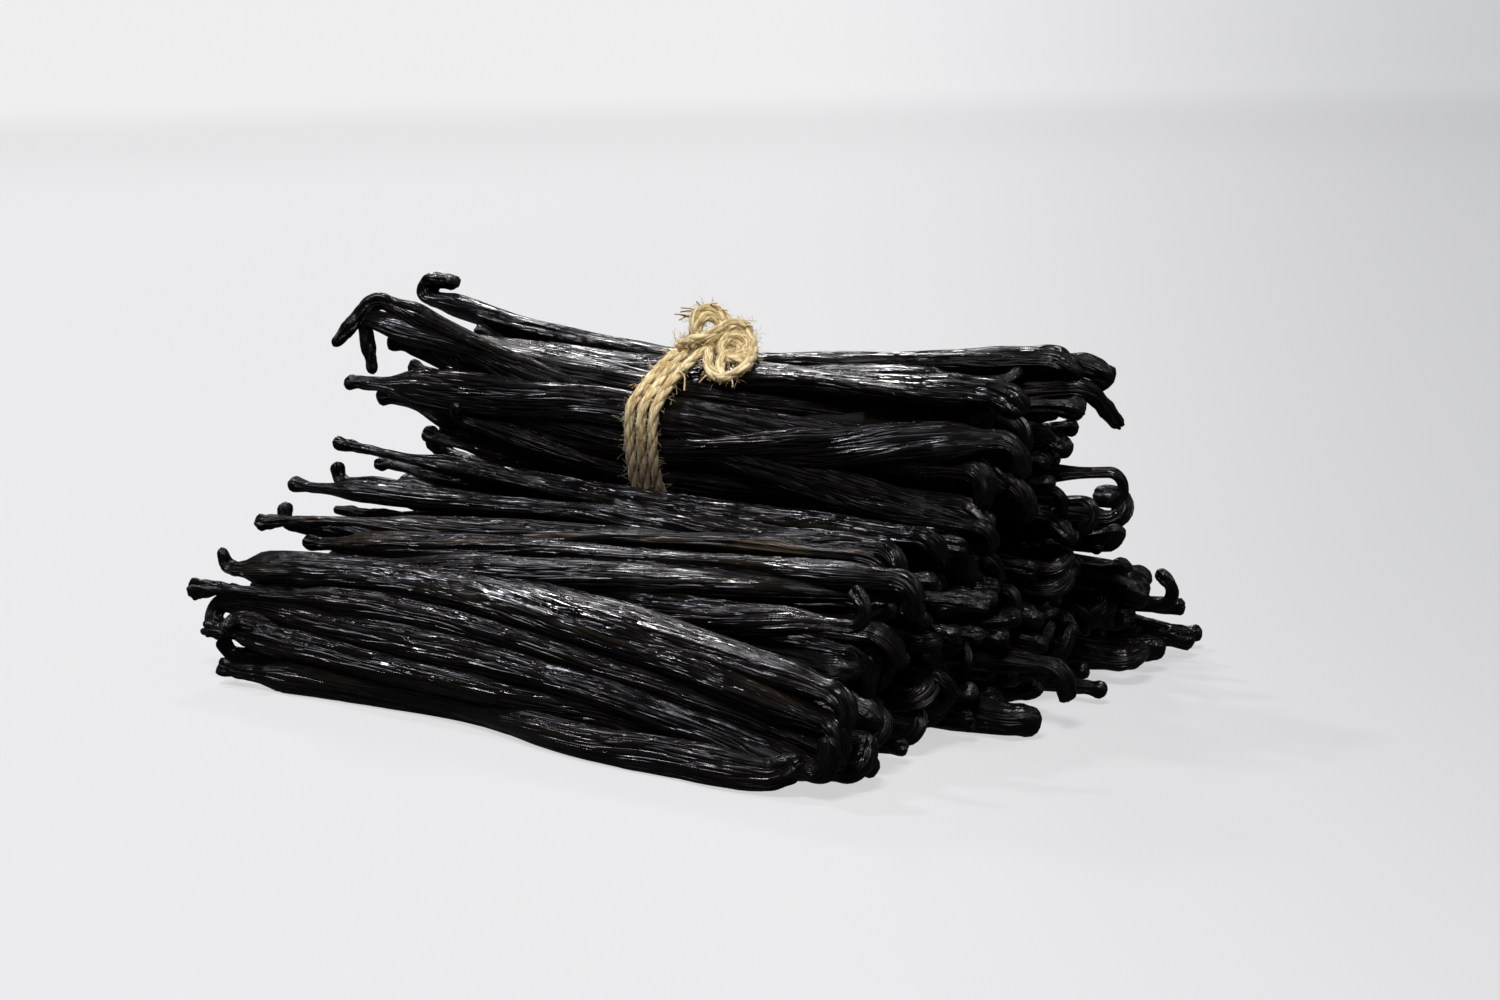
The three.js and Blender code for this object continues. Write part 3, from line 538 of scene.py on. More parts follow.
    def half_width(self, z: float, table: Sequence[float], inset: float) -> float:
        """Returns the heap's half-width at height z, less the inset."""
        h = min(max(z, 0.0), self.heap_step * (len(table) - 1))
        i = min(len(table) - 2, int(h // self.heap_step))
        u = h / self.heap_step - i
        return table[i] * (1 - u) + table[i + 1] * u - inset

    def build(self) -> list[Pod]:
        """Lays and settles every pod, in the order that the solids use.

        Returns:
            The pods: the listed ones first.
        """
        draw = seeded(self.seed)

        def span(lo: float, hi: float) -> float:
            """Returns a draw between lo and hi."""
            return lo + (hi - lo) * draw()

        def kind(kinds: Sequence[Tip]) -> Tip:
            """Returns a drawn tip."""
            return kinds[int(draw() * len(kinds))]

        def drawn(group: Group, r: float, places: Sequence[Pair], ranges: Sequence[Pair]) -> Pod:
            """Lays a pod with drawn tips.

            Args:
                group: the bundle or the heap.
                r: its radius.
                places: its (y, z) at the left tip, the middle and the right tip.
                ranges: between what each tip's X and then each tip's roll is drawn.

            Returns:
                The pod.
            """
            left, right = kind(LEFT_TIPS), kind(RIGHT_TIPS)
            xa, xb, roll_left, roll_right = (span(*limits) for limits in ranges)
            return self.lay(group, (r, xa, *places, xb, left, roll_left, right, roll_right), False)

        cy, cz, wr = self.waist
        twist = math.radians(self.twist)
        pods = [self.lay(Group.TIED, row, True) for row in self.tied]
        pods += [self.lay(Group.LOOSE, row, True) for row in self.face]
        pods += [self.lay(Group.LOOSE, row, True, True) for row in self.side]
        for rho, count, first, step in self.rings:
            for i in range(count):
                angle = math.radians(first + step * i + span(-self.ring_turn, self.ring_turn))
                r = span(*self.ring_radius)
                share = rho / wr

                def at(y: float, z: float, ry: float, rz: float, twist: float) -> tuple[float, float]:
                    """Returns the pod's place in a section of the fan."""
                    way = angle + twist
                    return y + share * ry * math.cos(way), z + share * rz * math.sin(way)

                a = at(*self.fan_left[1:], -twist)
                b = at(*self.fan_right[1:], twist)
                places = (a, at(cy, cz, wr, wr, 0), b)
                pods.append(drawn(Group.TIED, r, places, self.tied_ranges))
        for k in range(self.layers):
            z = self.layer_first + self.layer_pitch * k
            front = self.half_width(z, self.heap_front, self.face_inset if z > self.heap_step else 0)
            back = self.half_width(z, self.heap_back, 0)
            count = int((front + back) // self.pod_pitch)
            for i in range(count + 1):
                u = (i + (0.5 if k % 2 else 0)) / count
                y = -front + (front + back) * u
                if u > 1 or math.hypot(y - cy, z - cz) < wr + self.clear:
                    continue
                if any(math.hypot(y - row[3][0], z - row[3][1]) < self.near for row in self.face + self.side):
                    continue
                r = span(*self.radius)
                # The tips spread a little to the left and close up to the right, and the top ones rise.
                rise = 8 * (k / 6) ** 2
                a = (y * 1.05 + span(-self.stray, self.stray), max(r, z + rise + span(-self.lift, self.lift)))
                b = (
                    y * 0.98 + 1 + span(-self.stray, self.stray),
                    max(r, z * 1.02 + span(-self.lift, self.lift)),
                )
                ranges = self.low_ranges if z < self.low_z else self.loose_ranges
                pods.append(drawn(Group.LOOSE, r, (a, (y, z), b), ranges))
        self.settle(pods)
        for i, pod in enumerate(pods):
            pod.index = i
        for i, share in self.browned:
            pods[i].tan = share
        return pods

    def settle(self, pods: list[Pod]) -> None:
        """Pushes overlapping pods apart, keeps the tie tight and smooths each pod.

        Args:
            pods: every pod; the fixed ones stay where they are.
        """
        cy, cz, wr = self.waist
        y, z = np.array([p.y for p in pods]), np.array([p.z for p in pods])
        r = np.array([p.r for p in pods])
        free = np.array([not p.fixed for p in pods])[:, None]
        tied = np.array([p.group is Group.TIED for p in pods])
        home_y, home_z = y.copy(), z.copy()
        room = r[:, None] + r[None, :] + np.where(tied[:, None] != tied[None, :], self.apart, 0.0)
        share = np.where(free.T, 0.5, 1.0) * free
        # The tie grips the bundle near the middle and keeps the heap's pods clear under it.
        x = self.stations.x
        grip, under = np.exp(-((x / self.grip_x) ** 2)), np.exp(-((x / self.under_x) ** 2))
        for _ in range(self.rounds):
            dy = y[:, None, :] - y[None, :, :]
            dz = z[:, None, :] - z[None, :, :]
            d = np.sqrt(dy * dy + dz * dz) + 1e-9
            lap = (room[:, :, None] - d) / d * self.push
            push = np.where(d < room[:, :, None], lap, 0.0) * share[:, :, None]
            y = y + (push * dy).sum(1)
            z = z + (push * dz).sum(1)
            y = y + self.home * (home_y - y) * free
            z = z + (self.home * (home_z - z) - self.fall) * free
            oy, oz = y - cy, z - cz
            d = np.sqrt(oy * oy + oz * oz) + 1e-9
            tight = np.minimum(d, wr - r[:, None] + self.play * (1 - grip))
            clear = np.maximum(d, wr + r[:, None] + self.down[0] + self.down[1] * under)
            want = np.where(tied[:, None] & (grip >= 0.3), tight, d)
            want = np.where(~tied[:, None] & (under >= 0.05), clear, want)
            y = np.where(free, cy + oy * want / d, y)
            z = np.where(free, cz + oz * want / d, z)
            for v in (y, z):
                v[:, 1:-1] += self.even * (v[:, :-2] + v[:, 2:] - 2 * v[:, 1:-1]) * free
            z = np.where(free, np.maximum(z, r[:, None]), z)
        for i, pod in enumerate(pods):
            if not pod.fixed:
                pod.y, pod.z = y[i], z[i]

    def at(self, pod: Pod, x: np.ndarray | float) -> np.ndarray:
        """Returns the body's centre at x, as points."""
        x = np.asarray(x, dtype=float)
        return np.stack([x, self.stations.between(pod.y, x), self.stations.between(pod.z, x)], axis=-1)

    def facing(self, pod: Pod) -> np.ndarray:
        """Returns the direction that a pod's thin side faces, out of the bundle or the heap."""
        _, y, z = self.at(pod, 0.0)
        if pod.group is Group.TIED:
            return unit(np.array([0, y - self.waist[0], z - self.waist[1]]))
        return unit(np.array([0, y**3 / self.oval[0] ** 4, z**3 / self.oval[1] ** 4 + 1e-6]))

    def outside(self, y: float, z: float) -> float:
        """Returns how far a place in the heap's section is outside the core, negative inside it."""
        nearest, inside = math.inf, False
        for (y0, z0), (y1, z1) in zip(self.heap_core, self.heap_core[1:]):
            t = ((y - y0) * (y1 - y0) + (z - z0) * (z1 - z0)) / ((y1 - y0) ** 2 + (z1 - z0) ** 2)
            t = min(1.0, max(0.0, t))
            nearest = min(nearest, math.hypot(y0 + t * (y1 - y0) - y, z0 + t * (z1 - z0) - z))
            if (z0 > z) != (z1 > z) and y < y0 + (z - z0) / (z1 - z0) * (y1 - y0):
                inside = not inside
        return -nearest if inside else nearest

    def shows(self, pod: Pod, pods: Iterable[Pod]) -> bool:
        """Tells whether a pod lies on the outside, where its whole length is seen."""
        here = self.at(pod, 0.0)
        if pod.group is Group.LOOSE:
            return self.outside(here[1], here[2]) > -self.show_depth
        if pod.fixed:
            return True
        out = self.facing(pod)
        for other in pods:
            if other.group is pod.group:
                to = self.at(other, 0.0) - here
                above = to @ out
                aside = math.sqrt(max(0.0, to @ to - above * above))
                if self.over[0] < above < self.over[1] and aside < self.beside:
                    return False
        return True


@dataclass(frozen=True)
class Cut:
    """How finely a pod is cut: corners round it, and ring spacing in mm on body and tips."""

    sides: int
    body: float
    tip: float
    creases: int
    fine: int


NEAR_CUT = Cut(54, 2.3, 0.62, 7, 17)
FAR_CUT = Cut(34, 3.4, 0.9, 6, 9)
HIDDEN_CUT = Cut(26, 9.0, 0.8, 5, 6)


@dataclass
class PodShaper:
    """Turns a laid pod into its wrinkled skin."""

    layout: Layout
    wide: float = 1.15
    flat: float = 0.84
    crease_depth: float = 0.21
    fine_depth: float = 0.085
    tip_depth: float = 0.12
    crumples: tuple[int, ...] = (1, 2, 3, 5, 7)
    crumple: float = 2.2
    # The degrees of the rings that round each end off.
    rounding: tuple[float, ...] = (32, 58, 78)
    spacing: float = 317.0
    seed: int = 3

    def tip_line(self, end: np.ndarray, along: np.ndarray, roll: float, tip: Tip, step: float) -> np.ndarray:
        """Follows a tip from the body's end outwards.

        Args:
            end: the body's end.
            along: the way the body points there.
            roll: the way the tip bends, in degrees in the YZ plane.
            tip: its kind.
            step: the ring spacing.

        Returns:
            Points and how far along the tip each one is, from 0 to 1, as rows of 4.
        """
        form = tip.value
        side = np.array([0, math.cos(math.radians(roll)), math.sin(math.radians(roll))])
        side = unit(side - along * (side @ along))
        turn = math.radians(form.turn)
        s = np.linspace(0, form.length, max(6, round(form.length / step)) + 1)[1:, None]
        a = np.clip((s - form.lead) / form.bend, 0, turn)
        rest = np.maximum(0, s - form.lead - turn * form.bend)
        point = (
            end
            + along * (np.minimum(s, form.lead) + form.bend * np.sin(a) + rest * np.cos(a))
            + side * (form.bend * (1 - np.cos(a)) + rest * np.sin(a))
        )
        return np.concatenate([point, s / form.length], axis=1)

    def centre_line(
        self, pod: Pod, cut: Cut, rng: np.random.Generator
    ) -> tuple[np.ndarray, np.ndarray, np.ndarray]:
        """Follows a pod from tip to tip.

        Args:
            pod: the pod.
            cut: the ring spacing.
            rng: for the small bends that every pod has.

        Returns:
            The points, the radius at each, and how far each one is into a tip.
        """
        steps = max(6, round((pod.x1 - pod.x0) / cut.body))
        x = np.linspace(pod.x0, pod.x1, steps + 1)
        body = self.layout.at(pod, x)
        left, right = pod.left.value, pod.right.value
        ease = np.vectorize(smooth)
        u, v = ease((x - pod.x0) / left.taper), ease((pod.x1 - x) / right.taper)
        radius = np.where(x < 0, left.neck + (pod.r - left.neck) * u, right.neck + (pod.r - right.neck) * v)
        parts, radii, tipness = [body], [radius], [np.zeros(len(x))]
        for tip, roll, end, before, place in (
            (pod.left, pod.roll_left, body[0], body[1], 0),
            (pod.right, pod.roll_right, body[-1], body[-2], 1),
        ):
            line = self.tip_line(end, unit(end - before), roll, tip, cut.tip)
            form = tip.value
            r = form.neck + (form.end - form.neck) * ease((line[:, 3] - 0.72) / 0.28)
            order = slice(None, None, -1) if place == 0 else slice(None)
            for group, values in ((parts, line[:, :3]), (radii, r), (tipness, line[:, 3])):
                group.insert(0 if place == 0 else len(group), values[order])
        line, r, into = np.concatenate(parts), np.concatenate(radii), np.concatenate(tipness)
        # Rounded closing rings at the right end, and again at the left end with everything turned round.
        angles = np.radians(self.rounding)
        for _ in range(2):
            extra = line[-1] + unit(line[-1] - line[-2]) * (r[-1] * 0.85 * np.sin(angles))[:, None]
            line = np.concatenate([line, extra])[::-1]
            r = np.concatenate([r, r[-1] * np.cos(angles)])[::-1]
            into = np.concatenate([into, np.ones(len(angles))])[::-1]
        s = run_length(line)
        # Slow and quick bends, which the tie holds straight.
        wander = drift(rng, s, 24, 2) * 0.42 + drift(rng, s, 9, 2) * 0.13
        hold = 1 - np.exp(-((line[:, 0] / 12) ** 2))
        line[:, 1] += wander[0] * hold
        line[:, 2] += wander[1] * hold
        return line, r, into

    def skin(self, pod: Pod, cut: Cut) -> tuple[np.ndarray, dict[str, np.ndarray]]:
        """Makes a pod's wrinkled surface.

        Args:
            pod: the pod.
            cut: how finely it is cut.

        Returns:
            The grid of points in mm, and the attributes that its finish reads.
        """
        rng = np.random.default_rng(self.seed * 1000 + pod.index)
        line, r, into = self.centre_line(pod, cut, rng)
        rings = len(line)
        s = run_length(line)
        middle = int(np.argmin(np.abs(line[:, 0]) + 100 * (into > 0)))
        normal, across = carried_frames(line, self.layout.facing(pod), middle)
        theta = FULL_TURN * np.arange(cut.sides) / cut.sides
        # The flattened section turns a little along the pod and fills out at the tips.
        turn = 0.5 * drift(rng, s, 45)[0]
        round_off = np.clip(into * 1.4, 0, 1)
        wide = self.wide * (1 + 0.08 * drift(rng, s, 18)[0]) * (1 - 0.08 * round_off)
        flat = self.flat * (1 + 0.1 * drift(rng, s, 20)[0]) * (1 + 0.12 * round_off)
        swell = 1 + 0.07 * drift(rng, s, 28)[0] + (0.03 + 0.1 * round_off) * drift(rng, s, 4.5)[0]
        # Creases run along the pod, wander a little round it and fade in and out.
        dent = np.zeros((rings, cut.sides))
        for count, depth, width, wavelength in (
            (cut.creases, self.crease_depth, 0.2, 26.0),
            (cut.fine, self.fine_depth, 0.11, 12.0),
        ):
            at = FULL_TURN * (np.arange(count) + rng.uniform(-0.3, 0.3, count)) / count
            at = at[:, None] + 0.22 * drift(rng, s, wavelength, count) * 5 / count**0.5 / 2
            at = at + 0.3 * round_off * drift(rng, s, 3.5, count)
            deep = depth * np.clip(0.45 + 0.75 * drift(rng, s, wavelength, count), 0, 1.1)
            deep = deep * (1 + 0.7 * round_off)
            gap = (theta[None, None, :] - at[:, :, None] + np.pi) % FULL_TURN - np.pi
            dent += (deep[:, :, None] * np.exp(-np.abs(gap) / width)).sum(0)
        # A pod is rather two- or three-edged, and which way the edges point changes along it.
        for edges, depth in ((2, 0.05), (3, 0.06)):
            phase = 1.5 * drift(rng, s, 40)[0][:, None] + rng.uniform(0, 6.28)
            dent += depth * np.cos(edges * theta[None, :] + phase)
        # The tips are dry, so they shrink into a coarser pattern.
        for k in self.crumples:
            wave = drift(rng, s, self.crumple)[0][:, None] * np.cos(k * theta + rng.uniform(0, 6.28))[None, :]
            dent += self.tip_depth * round_off[:, None] * wave
        shape = (r * swell)[:, None] * (1.04 - dent)
        c, w = np.cos(theta)[None, :], np.sin(theta)[None, :]
        side_x, side_z = shape * c * wide[:, None], shape * w * flat[:, None]
        ct, st = np.cos(turn)[:, None], np.sin(turn)[:, None]
        px, pz = side_x * ct - side_z * st, side_x * st + side_z * ct
        grid = line[:, None, :] + px[..., None] * across[:, None, :] + pz[..., None] * normal[:, None, :]
        grid[..., 2] = np.maximum(grid[..., 2], 0.0)
        # The pattern's space is the pod unrolled to a straight round bar, far from every other pod's.
        far = (s + self.spacing * pod.index)[:, None]
        space = np.stack(np.broadcast_arrays(pod.r * c, pod.r * w, far), axis=-1)
        marks = {
            "pod_space": space,
            "dent": dent / (self.crease_depth + self.fine_depth),
            "tip": np.repeat(into[:, None], cut.sides, axis=1),
            "tan": np.full((rings, cut.sides), pod.tan),
            "cast": np.full((rings, cut.sides), rng.uniform(0, 1)),
        }
        return grid, marks


# ---- finishes ----


Socket = bpy.types.NodeSocket
ATTRIBUTE, NOISE, BUMP = "ShaderNodeAttribute", "ShaderNodeTexNoise", "ShaderNodeBump"
MATH, VECTOR_MATH, COMBINE = "ShaderNodeMath", "ShaderNodeVectorMath", "ShaderNodeCombineXYZ"
MIX, COLOURS = "ShaderNodeMix", {"data_type": "RGBA"}
RANGE, SMOOTH = "ShaderNodeMapRange", {"interpolation_type": "SMOOTHSTEP"}
STORE, SET_RADIUS = "GeometryNodeStoreNamedAttribute", "GeometryNodeSetCurveRadius"
VECTORS = {"data_type": "FLOAT_VECTOR"}


@dataclass(frozen=True)
class Grain:
    """A noise pattern: its size across and along the piece, in mm, its detail and its roughness."""

    across: float
    along: float
    detail: float
    roughness: float = 0.5


class NodeTree:
    """A node tree that is being built."""

    def __init__(self, tree: bpy.types.NodeTree) -> None:
        """Starts on an empty tree."""
        self.tree = tree

    def feed(self, node: bpy.types.Node, inputs: dict[str, object]) -> bpy.types.Node:
        """Sets or links a node's inputs.

        Args:
            node: the node.
            inputs: its sockets by name (spaces as _) or index (as _0). Each is a value, a socket, or a
                node, which stands for its first output in use.

        Returns:
            The node.
        """
        for key, value in inputs.items():
            socket = node.inputs[int(key[1:]) if key[0] == "_" else key.replace("_", " ")]
            if isinstance(value, bpy.types.Node):
                value = next(output for output in value.outputs if output.enabled)
            if isinstance(value, Socket):
                self.tree.links.new(value, socket)
            else:
                socket.default_value = value
        return node

    def add(
        self, kind: str, settings: dict[str, object] | str | None = None, **inputs: object
    ) -> bpy.types.Node:
        """Adds a node with its settings and links.

        Args:
            kind: the node's type.
            settings: its properties by name, or its operation alone.
            inputs: what feed takes.

        Returns:
            The node.
        """
        node = self.tree.nodes.new(kind)
        if isinstance(settings, str):
            settings = {"operation": settings}
        for key, value in (settings or {}).items():
            setattr(node, key, value)
        return self.feed(node, inputs)


class Shader(NodeTree):
    """A new material and its node tree."""

    def __init__(self, name: str) -> None:
        """Starts a material with only its output and a Principled shader."""
        self.material = bpy.data.materials.new(name)
        self.material.use_nodes = True
        super().__init__(self.material.node_tree)
        self.tree.nodes.clear()
        self.surface = self.add("ShaderNodeBsdfPrincipled")
        self.add("ShaderNodeOutputMaterial", Surface=self.surface)

    def patterns(self, attribute: str, grains: Sequence[Grain]) -> list[bpy.types.Node]:
        """Lays noise patterns on a piece's own space.

        Args:
            attribute: the space's name; it is in mm, with its third axis along the piece.
            grains: the patterns.

        Returns:
            A noise for each grain.
        """
        space = self.add(ATTRIBUTE, {"attribute_name": attribute}).outputs["Vector"]
        noises = []
        for grain in grains:
            scale = (1 / grain.across, 1 / grain.across, 1 / grain.along)
            place = self.add(VECTOR_MATH, "MULTIPLY", _0=space, _1=scale)
            noise = self.add(NOISE, Vector=place, Scale=1.0, Detail=grain.detail, Roughness=grain.roughness)
            noises.append(noise)
        return noises


class GeometryTree(NodeTree):
    """A geometry node tree with named inputs, which takes a mesh of lines and gives a mesh."""

    def __init__(self, name: str, sizes: dict[str, float | int]) -> None:
        """Starts a tree whose inputs have those names and starting values."""
        super().__init__(bpy.data.node_groups.new(name, "GeometryNodeTree"))
        face = self.tree.interface
        face.new_socket(name="Geometry", in_out="INPUT", socket_type="NodeSocketGeometry")
        self.sizes = sizes
        self.ids: dict[str, str] = {}
        for key, value in sizes.items():
            kind = "NodeSocketInt" if isinstance(value, int) else "NodeSocketFloat"
            socket = face.new_socket(name=key, in_out="INPUT", socket_type=kind)
            socket.default_value = value
            self.ids[key] = socket.identifier
        face.new_socket(name="Geometry", in_out="OUTPUT", socket_type="NodeSocketGeometry")
        self.given = self.tree.nodes.new("NodeGroupInput").outputs

    def finish(self, geometry: bpy.types.Node, material: bpy.types.Material) -> None:
        """Ends the tree in Realize Instances and Set Material."""
        real = self.add("GeometryNodeRealizeInstances", _0=geometry)
        self.add("NodeGroupOutput", _0=self.add("GeometryNodeSetMaterial", _0=real, Material=material))

    def run(self, name: str, source: bpy.types.Mesh, material: bpy.types.Material) -> bpy.types.Object:
        """Evaluates the tree on a mesh and keeps the result as a plain mesh.

        Args:
            name: the name of the new object.
            source: what the tree starts from.
            material: the finish that the tree sets.

        Returns:
            The new object, at the origin.
        """
        holder = add_object(name + "_lines", source)
        modifier = holder.modifiers.new("nodes", "NODES")
        modifier.node_group = self.tree
        for key, identifier in self.ids.items():
            modifier[identifier] = self.sizes[key]
        graph = bpy.context.evaluated_depsgraph_get()
        mesh = bpy.data.meshes.new_from_object(holder.evaluated_get(graph), depsgraph=graph)
        holder.modifiers.remove(modifier)
        bpy.data.objects.remove(holder)
        mesh.name = name
        mesh.materials.clear()
        mesh.materials.append(material)
        mesh.shade_smooth()
        mesh.calc_loop_triangles()
        log.info("%s: %d faces", name, len(mesh.loop_triangles))
        return add_object(name, mesh)


def line_mesh(name: str, lines: Sequence[np.ndarray]) -> bpy.types.Mesh:
    """Makes a mesh of open lines.

    Args:
        name: its name.
        lines: each line's points, in mm.

    Returns:
        The mesh, in metres.
    """
    points, edges = [], []
    for line in lines:
        first = len(points)
        points += [tuple(p) for p in np.asarray(line) * MM]
        edges += [(first + i, first + i + 1) for i in range(len(line) - 1)]
    mesh = bpy.data.meshes.new(name)
    mesh.from_pydata(points, edges, [])
    return mesh


def rounded(points: Sequence[Sequence[float]], step: float = 0.5) -> np.ndarray:
    """Runs a smooth curve through a few points.

    Args:
        points: the points, in order.
        step: the spacing of the result, in mm.

    Returns:
        The curve's points.
    """
    p = np.asarray(points, dtype=float)
    padded = np.concatenate([[2 * p[0] - p[1]], p, [2 * p[-1] - p[-2]]])
    out = []
    for i in range(len(p) - 1):
        count = max(2, math.ceil(np.linalg.norm(padded[i + 2] - padded[i + 1]) / step))
        t = np.linspace(0, 1, count, endpoint=False)[:, None]
        out.append(spline(*padded[i : i + 4], t))
    return np.concatenate(out + [p[-1:]])


@dataclass(frozen=True)
class CuredPodSkin:
    """Cured vanilla pod: a fermented, sun-dried pod whose skin is near black, leathery and oily.

    The oil gives small broken highlights along the wrinkles, and the dry crests are brown.
    """

    name: str = "cured_vanilla_skin"
    black: int = 0x060505
    brown: int = 0x0B0908
    tan: int = 0x76634E
    # Real wrinkles are 0.3 to 1 mm apart and the crackle between them is finer, so both are drawn as
    # coarse as they need to be to show.
    wrinkle: Grain = Grain(0.95, 20.0, 1.5)
    crackle: Grain = Grain(0.8, 3.2, 1.0)
    crinkle: Grain = Grain(1.3, 1.3, 2.0, 0.6)
    streak: Grain = Grain(2.4, 20.0, 3.0, 0.6)
    spots: Grain = Grain(1.5, 4.5, 2.0)
    relief_mm: float = 0.4
    ior: float = 1.33

    def material(self) -> bpy.types.Material:
        """Builds the material.

        Returns:
            The material, which reads the pods' own attributes.
        """
        sh = Shader(self.name)
        grains = (self.wrinkle, self.crackle, self.crinkle, self.streak, self.spots)
        wrinkle, fine, crinkle, patch, oil = sh.patterns("pod_space", grains)
        dent, tip, tan, cast = (
            sh.add(ATTRIBUTE, {"attribute_name": key}).outputs["Fac"]
            for key in ("dent", "tip", "tan", "cast")
        )
        # Dry brown shows on the crests, in long patches, more on some pods than on others. The tips
        # have dried to black.
        crest = sh.add(RANGE, Value=dent, From_Min=0.42, From_Max=0.08)
        dry = sh.add(RANGE, Value=patch, From_Min=0.46, From_Max=0.64)
        body = sh.add(MATH, {"operation": "SUBTRACT", "use_clamp": True}, _0=1.0, _1=tip)
        shares = []
        for share, *others in ((crest, dry, tan, body), (cast, patch, body)):
            for other in others:
                share = sh.add(MATH, "MULTIPLY", _0=share, _1=other)
            shares.append(share)
        worn, shade = shares
        deep = sh.add(MIX, COLOURS, _0=shade, _6=linear(self.black), _7=linear(self.brown))
        colour = sh.add(MIX, COLOURS, _0=worn, _6=deep, _7=linear(self.tan))
        # Oil lies in spots between drier skin, and has dried in long patches.
        dull = sh.add(RANGE, Value=oil, From_Min=0.42, From_Max=0.6, To_Min=0.24, To_Max=0.08)
        for share, more in ((worn, 0.25), (cast, 0.1), (tip, 0.06)):
            dull = sh.add(MATH, "MULTIPLY_ADD", _0=share, _1=more, _2=dull)
        dried = sh.add(RANGE, Value=patch, From_Min=0.4, From_Max=0.54, To_Min=0.14, To_Max=0.0)
        dull = sh.add(MATH, "ADD", _0=dried, _1=dull)
        # Wrinkles are rounded ridges with sharp valleys between them, and the dry tips are crinkled
        # every way.
        level = sh.add(MATH, "SUBTRACT", _0=wrinkle, _1=0.5)
        ridge = sh.add(RANGE, SMOOTH, Value=sh.add(MATH, "ABSOLUTE", _0=level), From_Min=-0.02, From_Max=0.13)
        ridge = sh.add(MIX, _0=tip, _2=ridge, _3=crinkle)
        height = sh.add(MATH, "MULTIPLY_ADD", _0=fine, _1=0.32, _2=ridge)
        bump = sh.add(BUMP, Strength=1.0, Distance=self.relief_mm * MM, Height=height)
        sh.feed(sh.surface, {"Base Color": colour, "Roughness": dull, "Normal": bump, "IOR": self.ior})
        return sh.material


@dataclass(frozen=True)
class ShadedSkin:
    """The same cured skin deep between the pods, as a copy with painted shade: only black, dull and slightly
    wrinkled.
    """

    name: str = "shaded_vanilla_skin"
    black: int = 0x060505
    brown: int = 0x0E0A08
    wrinkles_per_mm: tuple[float, float, float] = (0.08, 0.9, 0.9)
    relief_mm: float = 0.6

    def material(self) -> bpy.types.Material:
        """Builds the material."""
        sh = Shader(self.name)
        space = sh.add(ATTRIBUTE, {"attribute_name": "pod_space"}).outputs["Vector"]
        grain = sh.add(VECTOR_MATH, "MULTIPLY", _0=space, _1=self.wrinkles_per_mm)
        wrinkle = sh.add(NOISE, Vector=grain, Scale=1.0, Detail=2.0)
        colour = sh.add(MIX, COLOURS, _0=wrinkle, _6=linear(self.black), _7=linear(self.brown))
        bump = sh.add(BUMP, Strength=0.8, Distance=self.relief_mm * MM, Height=wrinkle)
        sh.feed(sh.surface, {"Base Color": colour, "Normal": bump})
        sh.feed(sh.surface, {"Roughness": 0.8, "Specular IOR Level": 0.2})
        return sh.material


@dataclass(frozen=True)
class JuteYarn:
    """Jute twine: coarse golden bast fibre, spun and plied, so it is matt and streaked along."""

    name: str = "plied_jute"
    straw: int = 0xDCBA78
    pale: int = 0xF8E6B6
    dark: int = 0x6C4E22
    # The colour of the painted shade low on the bundle.
    painted_shade: int = 0x4A3618
    # Jute fibres are about 0.05 mm wide, too fine to show, so a streak is as wide as several.
    streak: Grain = Grain(1 / 1.7, 10 / 1.7, 3.0, 0.6)
    tone: Grain = Grain(2.0, 6.25, 2.0)
    relief_mm: float = 0.4
    # Heights in mm between which the painted shade fades out upwards.
    painted_shade_heights: Pair = (45.0, 67.0)

    def material(self) -> bpy.types.Material:
        """Builds the material.

        Returns:
            The material, which reads the strand's own attribute.
        """
        sh = Shader(self.name)
        fibre, patch = sh.patterns("yarn_space", (self.streak, self.tone))
        spread = sh.add(RANGE, Value=fibre, From_Min=0.42, From_Max=0.58)
        low = sh.add(MIX, COLOURS, _0=patch, _6=linear(self.dark), _7=linear(self.straw))
        colour = sh.add(MIX, COLOURS, _0=spread, _6=low, _7=linear(self.pale))
        # Low on the bundle the twine is darker towards the bottom: painted shade.
        place = sh.add("ShaderNodeTexCoord").outputs["Object"]
        height = sh.add("ShaderNodeSeparateXYZ", Vector=place).outputs["Z"]
        low_z, high_z = (z * MM for z in self.painted_shade_heights)
        # Painted shade, by height: dark low on the bundle, none higher up.
        painted_shade_share = sh.add(RANGE, SMOOTH, Value=height, From_Min=low_z, From_Max=high_z, To_Min=0.88, To_Max=0.0)
        shaded_colour = sh.add(MIX, COLOURS, _0=painted_shade_share, _6=colour, _7=linear(self.painted_shade))
        bump = sh.add(BUMP, Strength=0.9, Distance=self.relief_mm * MM, Height=fibre)
        sh.feed(sh.surface, {"Base Color": shaded_colour, "Normal": bump, "Roughness": 0.85, "Sheen Weight": 0.25})
        return sh.material


